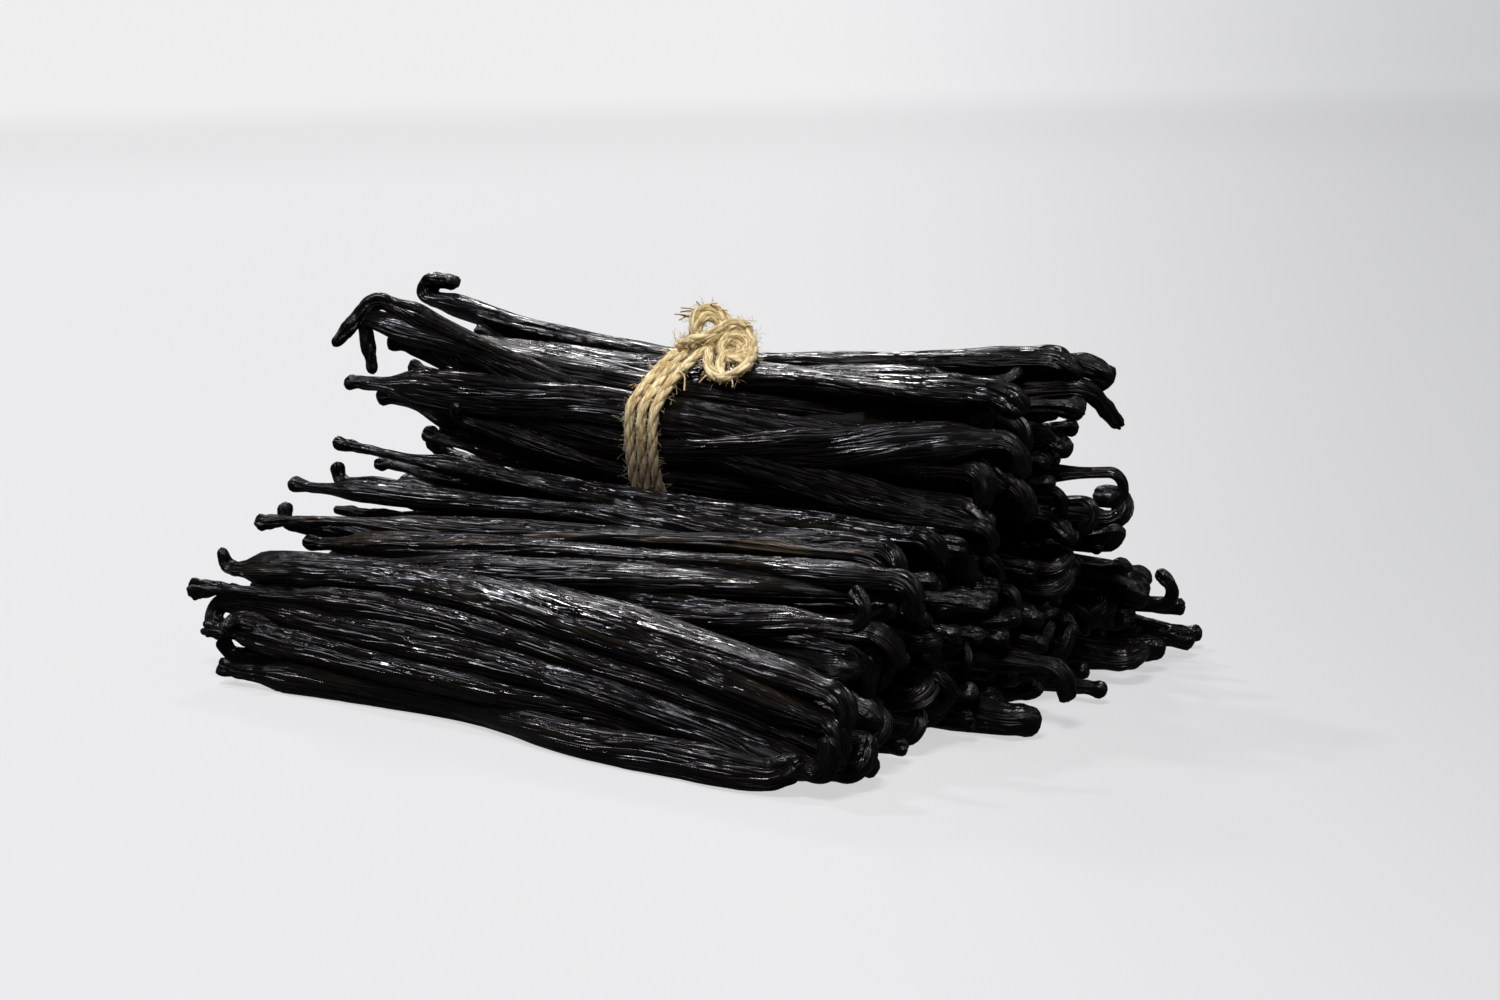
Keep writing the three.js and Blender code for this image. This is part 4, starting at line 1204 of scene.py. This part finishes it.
@dataclass(frozen=True)
class MattPaper:
    """The studio's pale paper sweep, which glows, because the whole room is bright."""

    name: str = "pale_paper"
    bright: int = 0xEDEDEE
    shaded_glow: int = 0xC2C3C6
    colour: int = 0x6A6A6A
    right: tuple[float, float, float] = (0.79, 0.61, 0.0)

    def material(self) -> bpy.types.Material:
        """Builds the material of the floor, whose glow is a little darker to the right as painted shade."""
        sh = Shader(self.name)
        place = sh.add("ShaderNodeTexCoord").outputs["Object"]
        side = sh.add(VECTOR_MATH, "DOT_PRODUCT", _0=place, _1=self.right)
        far = sh.add(VECTOR_MATH, "LENGTH", _0=place)
        share = sh.add(MATH, "DIVIDE", _0=side, _1=sh.add(MATH, "ADD", _0=far, _1=0.6))
        # Painted shade: the glow darkens towards the right.
        shade = sh.add(RANGE, SMOOTH, Value=share, From_Max=0.36)
        glow = sh.add(MIX, COLOURS, _0=shade, _6=linear(self.bright), _7=linear(self.shaded_glow))
        # The lamps light the paper near the heap, so it glows less there.
        strength = sh.add(RANGE, SMOOTH, Value=far, From_Min=0.3, From_Max=6.5, To_Min=0.71)
        sh.feed(sh.surface, {"Emission Color": glow, "Emission Strength": strength})
        sh.feed(sh.surface, {"Base Color": linear(self.colour), "Roughness": 0.9, "Specular IOR Level": 0.1})
        return sh.material


# ---- the sub-assemblies ----


@dataclass
class PodPiles:
    """The pods of the heap and of the bundle, and the dark cores that they lie on, which wear a skin with
    painted shade.
    """

    layout: Layout
    shaper: PodShaper
    skin: CuredPodSkin
    shade: ShadedSkin
    pods: list[Pod]
    per_piece: int = 14
    near_back: float = 20.0
    heap_core_x: tuple[float, float] = (-56.0, 56.0)
    bundle_core_x: tuple[float, float] = (-42.0, 50.0)
    bundle_core_share: float = 0.74
    sunk: float = 3.2
    ridge: float = 0.8

    def pieces(self) -> list[tuple[bpy.types.Object, Group]]:
        """Builds every pod.

        Returns:
            Each piece with the group whose solid it stands for.
        """
        finish = self.skin.material()
        sets: dict[tuple[str, Group], tuple[Cut, list[Pod]]] = {}
        for pod in self.pods:
            shown = self.layout.shows(pod, self.pods)
            near = shown and self.layout.at(pod, 0.0)[1] < self.near_back
            word, cut = ("near", NEAR_CUT) if near else ("far", FAR_CUT) if shown else ("inner", HIDDEN_CUT)
            name = f"{'bundle' if pod.group is Group.TIED else 'heap'}_pods_{word}"
            sets.setdefault((name, pod.group), (cut, []))[1].append(pod)
        made = []
        for (name, group), (cut, members) in sets.items():
            size = self.per_piece * (4 if cut is HIDDEN_CUT else 2 if cut is FAR_CUT else 1)
            for k in range(0, len(members), size):
                mesh = ShellMesh(f"{name}_{k // size + 1}")
                for pod in members[k : k + size]:
                    mesh.add_tube(*self.shaper.skin(pod, cut))
                made.append((mesh.build(finish), group))
                log.info("%s: %d pods", mesh.name, len(members[k : k + size]))
        # The cores take the skin with painted shade.
        dark = self.shade.material()
        return made + [(self.heap_core(dark), Group.LOOSE), (self.bundle_core(dark), Group.TIED)]

    def core(
        self, name: str, xs: np.ndarray, outline: Callable[[float], np.ndarray], finish: bpy.types.Material
    ) -> bpy.types.Object:
        """Builds a core, ridged like the backs of pods that lie side by side.

        Args:
            name: its name.
            xs: where its sections stand, from left to right.
            outline: gives the section's corners at x, as rows of y and z.
            finish: its material.

        Returns:
            The core.
        """
        rings = []
        for x in xs:
            yz = outline(x)
            lap = run_length(yz)
            away = np.stack([np.gradient(yz[:, 1]), -np.gradient(yz[:, 0])], axis=1)
            away /= np.linalg.norm(away, axis=1)[:, None]
            deep = self.sunk + self.ridge * np.cos(FULL_TURN * lap / self.layout.pod_pitch + 0.03 * x)
            inner = yz - away * deep[:, None]
            inner[:, 1] = np.maximum(inner[:, 1], 0.3)
            rings.append(np.column_stack([np.full(len(inner), x), inner]))
        grid = np.array(rings)
        # A small ring beyond each end closes it almost flat.
        middle = grid.mean(axis=1, keepdims=True)
        small = middle + (grid - middle) * 0.2
        grid = np.concatenate([small[:1] - (1.5, 0, 0), grid, small[-1:] + (1.5, 0, 0)])
        mesh = ShellMesh(name)
        mesh.add_tube(grid, {"pod_space": grid})
        return mesh.build(finish)

    def heap_core(self, finish: bpy.types.Material) -> bpy.types.Object:
        """Builds the core that shows between the heap's pods."""
        corners = np.array(self.layout.heap_core)
        lap = run_length(corners)
        at = np.linspace(0, lap[-1], 150)
        section = np.column_stack([np.interp(at, lap, corners[:, 0]), np.interp(at, lap, corners[:, 1])])
        return self.core("heap_core", np.linspace(*self.heap_core_x, 12), lambda x: section, finish)

    def bundle_core(self, finish: bpy.types.Material) -> bpy.types.Object:
        """Builds the core that shows between the bundle's pods."""
        lay, share = self.layout, self.bundle_core_share

        def section(x: float) -> np.ndarray:
            """Returns the oval at x."""
            (xa, *left), (xb, *right) = lay.fan_left, lay.fan_right
            middle = (lay.waist[0], lay.waist[1], lay.waist[2], lay.waist[2])
            y, z, ry, rz = (
                float(lay.pinched(np.array([x]), xa, a, m, xb, b)[0]) for a, m, b in zip(left, middle, right)
            )
            angle = np.linspace(0, FULL_TURN, 73)[:-1]
            return np.column_stack([y + share * ry * np.cos(angle), z + share * rz * np.sin(angle)])

        return self.core("bundle_core", np.linspace(*self.bundle_core_x, 12), section, finish)


@dataclass
class TwineTie:
    """The jute twine: nearly three turns round the bundle and a knot on top of it.

    The tables hold points in mm: where the cord leaves the turns, its way through the knot, the
    loop that lies to the right, the loop that stands up, and the frayed yarns.
    """

    layout: Layout
    pods: list[Pod]
    jute: JuteYarn
    strand: float = 1.24
    ply: float = 0.8
    lay_length: float = 12.5
    frayed_share: float = 0.15
    pitch: float = 3.1
    first: tuple[float, float] = (3.6, 142.0)
    last: float = 1160.0
    # How the turns find the pods: a pod's swell, half the width that they cover, the step round the
    # bundle and the step that its slope is read over, in degrees, and how far the cord presses in.
    swell: float = 1.07
    half: float = 6.0
    turn_step: float = 4.0
    feel: float = 3.0
    press: float = 0.25
    fibres_per_m2: float = 480000.0
    fibre_radius: float = 0.042
    fibre_arc: float = 3.2
    fibre_sweep: float = 58.0
    rise: Points = (
        (15.5, -3.6, 70.6), (15.2, -3.1, 71.4), (13.3, -1.5, 73.0), (11.4, -1.7, 74.7), (9.6, -3.1, 74.9),
        (7.7, -3.9, 73.7), (5.8, -5.8, 72.6), (5.0, -9.2, 70.8), (4.2, -12.8, 68.3), (3.9, -16.2, 66.0),
    )
    over: Points = (
        (-2.2, -4.6, 73.6), (0.4, -5.8, 74.4), (3.2, -6.2, 75.2), (5.4, -6.0, 75.8), (7.5, -5.1, 76.4),
        (9.1, -3.2, 78.0), (10.9, -1.1, 78.8), (12.4, 0.6, 78.4), (13.2, 1.6, 76.8), (12.7, 1.5, 74.8),
    )
    loop: Points = (
        (7.2, -2.0, 72.9), (6.9, -4.4, 72.9), (8.6, -7.6, 72.0), (11.3, -10.5, 69.3), (14.6, -10.9, 67.8),
        (17.8, -10.5, 68.8), (19.7, -8.4, 70.5), (18.2, -4.4, 71.9), (15.9, -0.9, 73.6), (13.4, 1.0, 76.2),
        (11.8, 0.2, 77.9), (10.3, -1.8, 77.6), (8.9, -3.0, 76.1), (7.8, -2.7, 74.3),
    )
    fill: Points = (
        (14.6, -10.0, 67.6), (12.8, -9.0, 69.4), (12.0, -7.2, 71.4), (11.8, -4.6, 72.2), (13.4, -2.6, 72.6),
        (13.8, -0.4, 73.8), (12.9, -0.2, 75.4), (11.4, -2.0, 76.2), (10.2, -3.8, 74.9), (10.2, -5.0, 73.2),
        (12.2, -5.8, 71.8), (15.4, -6.0, 71.6), (18.0, -5.8, 71.2),
    )
    frayed: tuple[Points, ...] = (
        ((3.4, -4.6, 80.8), (2.0, -5.2, 81.4), (-0.4, -6.2, 81.2)),
        ((3.0, -5.0, 80.0), (1.2, -6.2, 80.6), (-1.0, -7.4, 80.8)),
        ((3.2, -4.2, 80.6), (1.6, -5.6, 80.4), (-0.4, -6.6, 79.4)),
        ((3.6, -4.4, 81.4), (2.2, -5.6, 82.0), (0.2, -6.6, 82.2)),
        ((3.1, -4.8, 79.6), (1.8, -5.6, 80.0), (0.2, -6.6, 80.6)),
        ((5.2, -2.4, 82.0), (6.0, -2.9, 83.0), (7.6, -2.8, 83.2)),
        ((4.4, -3.2, 81.8), (3.8, -4.2, 82.7), (3.2, -4.8, 83.6)),
        ((7.0, -1.6, 81.2), (8.4, -1.6, 81.8), (9.8, -2.2, 81.6)),
        ((12.6, 0.2, 77.8), (14.0, 0.4, 78.4), (15.0, 0.0, 78.2)),
        ((3.8, -12.6, 68.6), (5.2, -13.6, 69.0), (7.4, -14.6, 68.0), (8.2, -15.8, 65.2)),
        ((0.6, -16.2, 66.0), (-0.6, -18.2, 65.6), (0.2, -19.4, 63.8), (2.2, -19.0, 62.8)),
        ((12.0, -10.6, 69.0), (11.0, -12.0, 68.0), (10.2, -13.0, 66.8)),
        ((17.0, -10.8, 68.2), (18.4, -11.6, 67.4), (18.8, -12.2, 66.2)),
    )
    crown_inner: Points = (
        (5.4, -4.2, 74.0), (3.9, -5.2, 75.8), (4.0, -5.6, 77.8), (4.6, -4.8, 79.5), (5.8, -3.4, 80.3),
        (7.2, -2.6, 79.4), (8.2, -2.8, 78.0), (8.2, -3.8, 76.4),
    )
    crown: Points = (
        (3.7, -4.1, 74.3), (3.1, -5.2, 75.9), (2.8, -5.4, 78.0), (2.9, -5.0, 80.2), (3.9, -3.5, 81.6),
        (5.6, -1.9, 81.8), (7.4, -1.0, 80.6), (9.0, -1.3, 78.9), (9.4, -2.5, 77.3), (8.6, -4.0, 75.8),
        (7.1, -5.0, 74.6), (4.5, -4.2, 73.2),
    )

    def turns(self) -> np.ndarray:
        """Follows the cord round the bundle, pressed against the pods.

        Returns:
            The points, from the front of the first turn to the top of the last.
        """
        tied = [pod for pod in self.pods if pod.group is Group.TIED]
        ys = np.array([[self.layout.at(pod, x)[1:] for pod in tied] for x in (-self.half, 0.0, self.half)])
        radii = np.array([pod.r * self.swell for pod in tied])
        degrees = np.arange(self.first[1], self.last, self.turn_step)
        mid_y, mid_z, _ = self.layout.waist
        line = []
        for deg in degrees:
            x = self.first[0] - self.pitch * (deg - self.first[1]) / 360
            u = np.clip(x / self.half, -1, 1)
            place = ys[1] + (ys[2] - ys[1]) * max(u, 0) + (ys[0] - ys[1]) * max(-u, 0)
            y, z = place[:, 0] - mid_y, place[:, 1] - mid_z
            reach = [
                float((y * math.cos(a) + z * math.sin(a) + radii).max())
                for a in np.radians([deg - self.feel, deg, deg + self.feel])
            ]
            slope = (reach[2] - reach[0]) / math.radians(2 * self.feel)
            c, w = math.cos(math.radians(deg)), math.sin(math.radians(deg))
            h = reach[1] + self.strand - self.press
            line.append((x, mid_y + h * c - slope * w, mid_z + h * w + slope * c))
        return relaxed(np.array(line), 0.3, 8)

    def yarn_tree(self, name: str, share: float = 1.0) -> GeometryTree:
        """Builds the tree that lays three plies round each line.

        Args:
            name: its name.
            share: the yarn's thickness, as a share of the whole twine's.

        Returns:
            The tree. Its inputs are the ply's radius, how far plies lie from the line, and the lay.
        """
        sizes = {
            "Ply radius": share * self.ply * MM, "Ply offset": share * (self.strand - self.ply) * MM,
            "Lay length": self.lay_length * MM, "Plies": 3,
        }
        t = GeometryTree(name, sizes)
        line = t.add("GeometryNodeMeshToCurve", _0=t.given[0])
        fine = t.add("GeometryNodeResampleCurve", {"mode": "LENGTH"}, Curve=line, Length=0.42 * MM)
        plies = t.add(
            "GeometryNodeDuplicateElements", {"domain": "SPLINE"}, Geometry=fine, Amount=t.given["Plies"]
        )
        length = t.add("GeometryNodeSplineParameter").outputs["Length"]
        part = t.add(MATH, "DIVIDE", _0=plies.outputs["Duplicate Index"], _1=t.given["Plies"])
        lays = t.add(MATH, "DIVIDE", _0=length, _1=t.given["Lay length"])
        turn = t.add(MATH, "MULTIPLY", _0=t.add(MATH, "ADD", _0=lays, _1=part), _1=FULL_TURN)
        normal = t.add("GeometryNodeInputNormal")
        across = t.add(VECTOR_MATH, "CROSS_PRODUCT", _0=t.add("GeometryNodeInputTangent"), _1=normal)
        away, aside = (
            t.add(VECTOR_MATH, "SCALE", _0=way, Scale=t.add(MATH, wave, _0=turn))
            for way, wave in ((normal, "COSINE"), (across, "SINE"))
        )
        wave = t.add(VECTOR_MATH, "ADD", _0=away, _1=aside)
        offset = t.add(VECTOR_MATH, "SCALE", _0=wave, Scale=t.given["Ply offset"])
        moved = t.add("GeometryNodeSetPosition", Geometry=plies, Offset=offset)
        # A spun ply is a little thicker and thinner along its length, by lumps about 2.4 mm long.
        x, y = t.add(MATH, "MULTIPLY", _0=length, _1=420.0), t.add(MATH, "MULTIPLY", _0=part, _1=40.0)
        lumps = t.add(NOISE, Vector=t.add(COMBINE, X=x, Y=y), Scale=1.0, Detail=2.0)
        size = t.add(MATH, "ADD", _0=t.add(MATH, "MULTIPLY", _0=lumps, _1=0.8), _1=0.6)
        thick = t.add(SET_RADIUS, _0=moved, Radius=size)
        along = t.add(MATH, "ADD", _0=length, _1=t.add(MATH, "MULTIPLY", _0=part, _1=0.3))
        marked = t.add(STORE, {"data_type": "FLOAT"}, Geometry=thick, Name="along", Value=along)
        circle = t.add("GeometryNodeCurvePrimitiveCircle", Resolution=10, Radius=t.given["Ply radius"])
        place = t.add("GeometryNodeInputPosition")
        ring = t.add(STORE, VECTORS, Geometry=circle, Name="round", Value=place)
        mesh = t.add("GeometryNodeCurveToMesh", _0=marked, _1=ring, Fill_Caps=True)
        # The ply's own space: fibres turn back against the lay, so they run along the cord.
        run = t.add("GeometryNodeInputNamedAttribute", {"data_type": "FLOAT"}, Name="along")
        around = t.add("GeometryNodeInputNamedAttribute", VECTORS, Name="round")
        lays = t.add(MATH, "DIVIDE", _0=run, _1=t.given["Lay length"])
        back = t.add(MATH, "MULTIPLY", _0=lays, _1=FULL_TURN)
        turned = t.add("ShaderNodeVectorRotate", {"rotation_type": "Z_AXIS"}, Vector=around, Angle=back)
        own = t.add(VECTOR_MATH, "ADD", _0=turned, _1=t.add(COMBINE, Z=run))
        space = t.add(VECTOR_MATH, "SCALE", _0=own, Scale=1 / MM)
        done = t.add(STORE, VECTORS, Geometry=mesh, Name="yarn_space", Value=space)
        t.finish(done, bpy.data.materials[self.jute.name])
        return t

    def fuzz_tree(self) -> GeometryTree:
        """Builds the tree that grows short loose fibres on the cord.

        Returns:
            The tree. Real fibres are 0.05 mm thick, and these are 0.08 mm so that they show.
        """
        sizes = {
            "Fibres per metre squared": self.fibres_per_m2, "Fibre radius": self.fibre_radius * MM,
            "Arc": self.fibre_arc * MM, "Seed": 4,
        }
        t = GeometryTree("loose_fibres", sizes)
        spots = t.add(
            "GeometryNodeDistributePointsOnFaces", {"distribute_method": "RANDOM"}, Mesh=t.given[0],
            Density=t.given["Fibres per metre squared"], Seed=t.given["Seed"],
        )
        sweep = math.radians(self.fibre_sweep)
        arc = t.add(
            "GeometryNodeCurveArc", {"mode": "RADIUS"}, Resolution=6, Radius=t.given["Arc"], Sweep_Angle=sweep
        )
        # The arc is moved so that it starts at the origin, and each fibre is aimed and turned at random.
        offset = t.add(COMBINE, X=t.add(MATH, "MULTIPLY", _0=t.given["Arc"], _1=-1.0))
        hair = t.add("GeometryNodeTransform", Geometry=arc, Translation=offset)
        scatter = t.add("FunctionNodeRandomValue", VECTORS, _0=(-1.0, -1.0, -1.0), Seed=11)
        out = t.add(VECTOR_MATH, "SCALE", _0=spots.outputs["Normal"], Scale=0.55)
        aim = t.add(VECTOR_MATH, "ADD", _0=out, _1=t.add(VECTOR_MATH, "SCALE", _0=scatter, Scale=0.85))
        spin = t.add("FunctionNodeRandomValue", {"data_type": "FLOAT"}, _3=FULL_TURN, Seed=12)
        roll = t.add("FunctionNodeEulerToRotation", _0=t.add(COMBINE, Y=spin))
        face = t.add("FunctionNodeAlignRotationToVector", {"axis": "Y", "pivot_axis": "AUTO"}, Vector=aim)
        both = t.add("FunctionNodeRotateRotation", {"rotation_space": "LOCAL"}, Rotation=face, _1=roll)
        size = t.add("FunctionNodeRandomValue", {"data_type": "FLOAT"}, _2=0.2, _3=1.0, Seed=13)
        grown = t.add("GeometryNodeInstanceOnPoints", Points=spots, Instance=hair, Rotation=both, Scale=size)
        real = t.add("GeometryNodeRealizeInstances", _0=grown)
        # Every fibre is bent its own way.
        place = t.add("GeometryNodeInputPosition")
        noise = t.add(NOISE, Vector=place, Scale=420.0, Detail=1.0).outputs["Color"]
        bend = t.add(VECTOR_MATH, "SUBTRACT", _0=noise, _1=(0.5, 0.5, 0.5))
        curl = t.add(VECTOR_MATH, "SCALE", _0=bend, Scale=1.6 * MM)
        even = t.add(SET_RADIUS, _0=t.add("GeometryNodeSetPosition", Geometry=real, Offset=curl), Radius=1.0)
        circle = t.add("GeometryNodeCurvePrimitiveCircle", Resolution=3, Radius=t.given["Fibre radius"])
        mesh = t.add("GeometryNodeCurveToMesh", _0=even, _1=circle, Fill_Caps=True)
        space = t.add(VECTOR_MATH, "SCALE", _0=place, Scale=1 / MM)
        done = t.add(STORE, VECTORS, Geometry=mesh, Name="yarn_space", Value=space)
        t.finish(done, bpy.data.materials[self.jute.name])
        return t

    def pieces(self) -> list[bpy.types.Object]:
        """Builds the cord and its loose fibres.

        Returns:
            The pieces that stand for the twine.
        """
        finish = self.jute.material()
        turns = self.turns()
        cord = np.concatenate([rounded(self.rise), turns, rounded([turns[-1], *self.over])[1:]])
        # One even curve, so that no corner shows where the parts meet.
        cord = relaxed(cord, 0.25, 10)
        knot = (self.loop, self.fill, self.crown, self.crown_inner)
        lines = [cord, *(rounded(points) for points in knot)]
        yarn = self.yarn_tree("plied_yarn").run("twine_cord", line_mesh("twine_lines", lines), finish)
        fuzz = self.fuzz_tree().run("twine_fibres", yarn.data.copy(), finish)
        ends = line_mesh("frayed_lines", [rounded(points, 0.4) for points in self.frayed])
        tufts = self.yarn_tree("frayed_yarn", self.frayed_share).run("twine_tufts", ends, finish)
        return [yarn, fuzz, tufts]


@dataclass(frozen=True)
class Lamp:
    """A soft rectangular lamp: its place and its width and height in mm, its power and its colour."""

    name: str
    at: tuple[float, float, float]
    size: Pair
    watts: float
    colour: int = 0xFFFFFF


@dataclass
class Studio:
    """The pale floor, the soft lights and the camera."""

    camera_at: tuple[float, float, float] = (361.1, -448.5, 141.7)
    azimuth: float = 37.764
    elevation: float = 10.272
    roll: float = -1.011
    lens: float = 61.55
    aim: tuple[float, float, float] = (0, 0, 40)
    lamps: tuple[Lamp, ...] = (
        Lamp("window", (-1880, -60, 2340), (240, 200), 38, 0xF2F2FF),
        Lamp("front", (700, -1500, 2750), (1000, 900), 112),
        Lamp("rear", (-1750, 1750, 1850), (320, 260), 25),
        Lamp("far_end", (1900, 1500, 2100), (1400, 1100), 13),
    )
    # The paper's rings: each one's radius and height, in metres.
    paper: tuple[Pair, ...] = ((0.5, 0), (2, 0), (8, 0), (14, 0), (15.5, 0.4), (16, 8))
    paper_sides: int = 96
    paper_gap: float = 0.0004
    sky: int = 0xF2F2F4
    sky_strength: float = 0.07

    def sweep(self) -> bpy.types.Object:
        """Makes the pale paper floor, which rises into a wall far away on every side."""
        sides = self.paper_sides
        points = [(0.0, 0.0, -self.paper_gap)]
        faces: list[tuple[int, ...]] = []
        for k, (r, h) in enumerate(self.paper):
            a, b = 1 + (k - 1) * sides, 1 + k * sides
            for i in range(sides):
                turn = FULL_TURN * i / sides
                points.append((r * math.cos(turn), r * math.sin(turn), h - self.paper_gap))
                j = (i + 1) % sides
                faces.append((a + i, b + i, b + j, a + j) if k else (0, b + i, b + j))
        mesh = bpy.data.meshes.new("paper_sweep")
        mesh.from_pydata(points, [], faces)
        mesh.shade_smooth()
        mesh.materials.append(MattPaper().material())
        sweep = add_object("paper_sweep", mesh)
        sweep.visible_glossy = sweep.visible_diffuse = False
        return sweep

    def light(self, lamp: Lamp) -> None:
        """Adds a lamp, turned towards the heap."""
        data = bpy.data.lights.new(lamp.name, "AREA")
        data.shape = "RECTANGLE"
        data.size, data.size_y = lamp.size[0] * MM, lamp.size[1] * MM
        data.energy = lamp.watts
        data.color = linear(lamp.colour)[:3]
        holder = add_object(lamp.name, data)
        holder.location = Vector(lamp.at) * MM
        holder.rotation_euler = (Vector(self.aim) - Vector(lamp.at)).to_track_quat("-Z", "Y").to_euler()

    def camera(self) -> None:
        """Adds the camera at the viewing angle and makes it the scene's."""
        a, e, roll = (math.radians(v) for v in (self.azimuth, self.elevation, self.roll))
        back = Vector((math.sin(a) * math.cos(e), -math.cos(a) * math.cos(e), math.sin(e)))
        right = Vector((math.cos(a), math.sin(a), 0))
        up = back.cross(right)
        right, up = right * math.cos(roll) + up * math.sin(roll), up * math.cos(roll) - right * math.sin(roll)
        data = bpy.data.cameras.new("camera")
        data.lens, data.sensor_width = self.lens, 36.0
        data.clip_start, data.clip_end = 0.01, 100.0
        holder = add_object("camera", data)
        turn = Matrix((right, up, back)).transposed().to_4x4()
        holder.matrix_world = Matrix.Translation(Vector(self.camera_at) * MM) @ turn
        bpy.context.scene.camera = holder

    def build(self) -> None:
        """Sets the paper, the sky, the lights and the camera."""
        self.sweep()
        world = bpy.data.worlds.new("soft_sky")
        world.use_nodes = True
        glow = world.node_tree.nodes["Background"]
        glow.inputs["Color"].default_value = linear(self.sky)
        glow.inputs["Strength"].default_value = self.sky_strength
        bpy.context.scene.world = world
        for lamp in self.lamps:
            self.light(lamp)
        self.camera()
        bpy.context.scene.view_settings.view_transform = "Standard"


def main() -> None:
    """Builds the heap in order and reports each piece."""
    logging.basicConfig(level=logging.INFO, format="%(name)s %(message)s")
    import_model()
    layout = Layout()
    pods = layout.build()
    log.info("%d pods laid", len(pods))
    piles = PodPiles(layout, PodShaper(layout), CuredPodSkin(), ShadedSkin(), pods)
    for piece, group in piles.pieces():
        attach(piece, "root")
        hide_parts("tied_pods" if group is Group.TIED else "loose_pods")
    for piece in TwineTie(layout, pods, JuteYarn()).pieces():
        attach(piece, "root")
        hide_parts("twine")
    Studio().build()


if __name__ == "__main__":
    main()
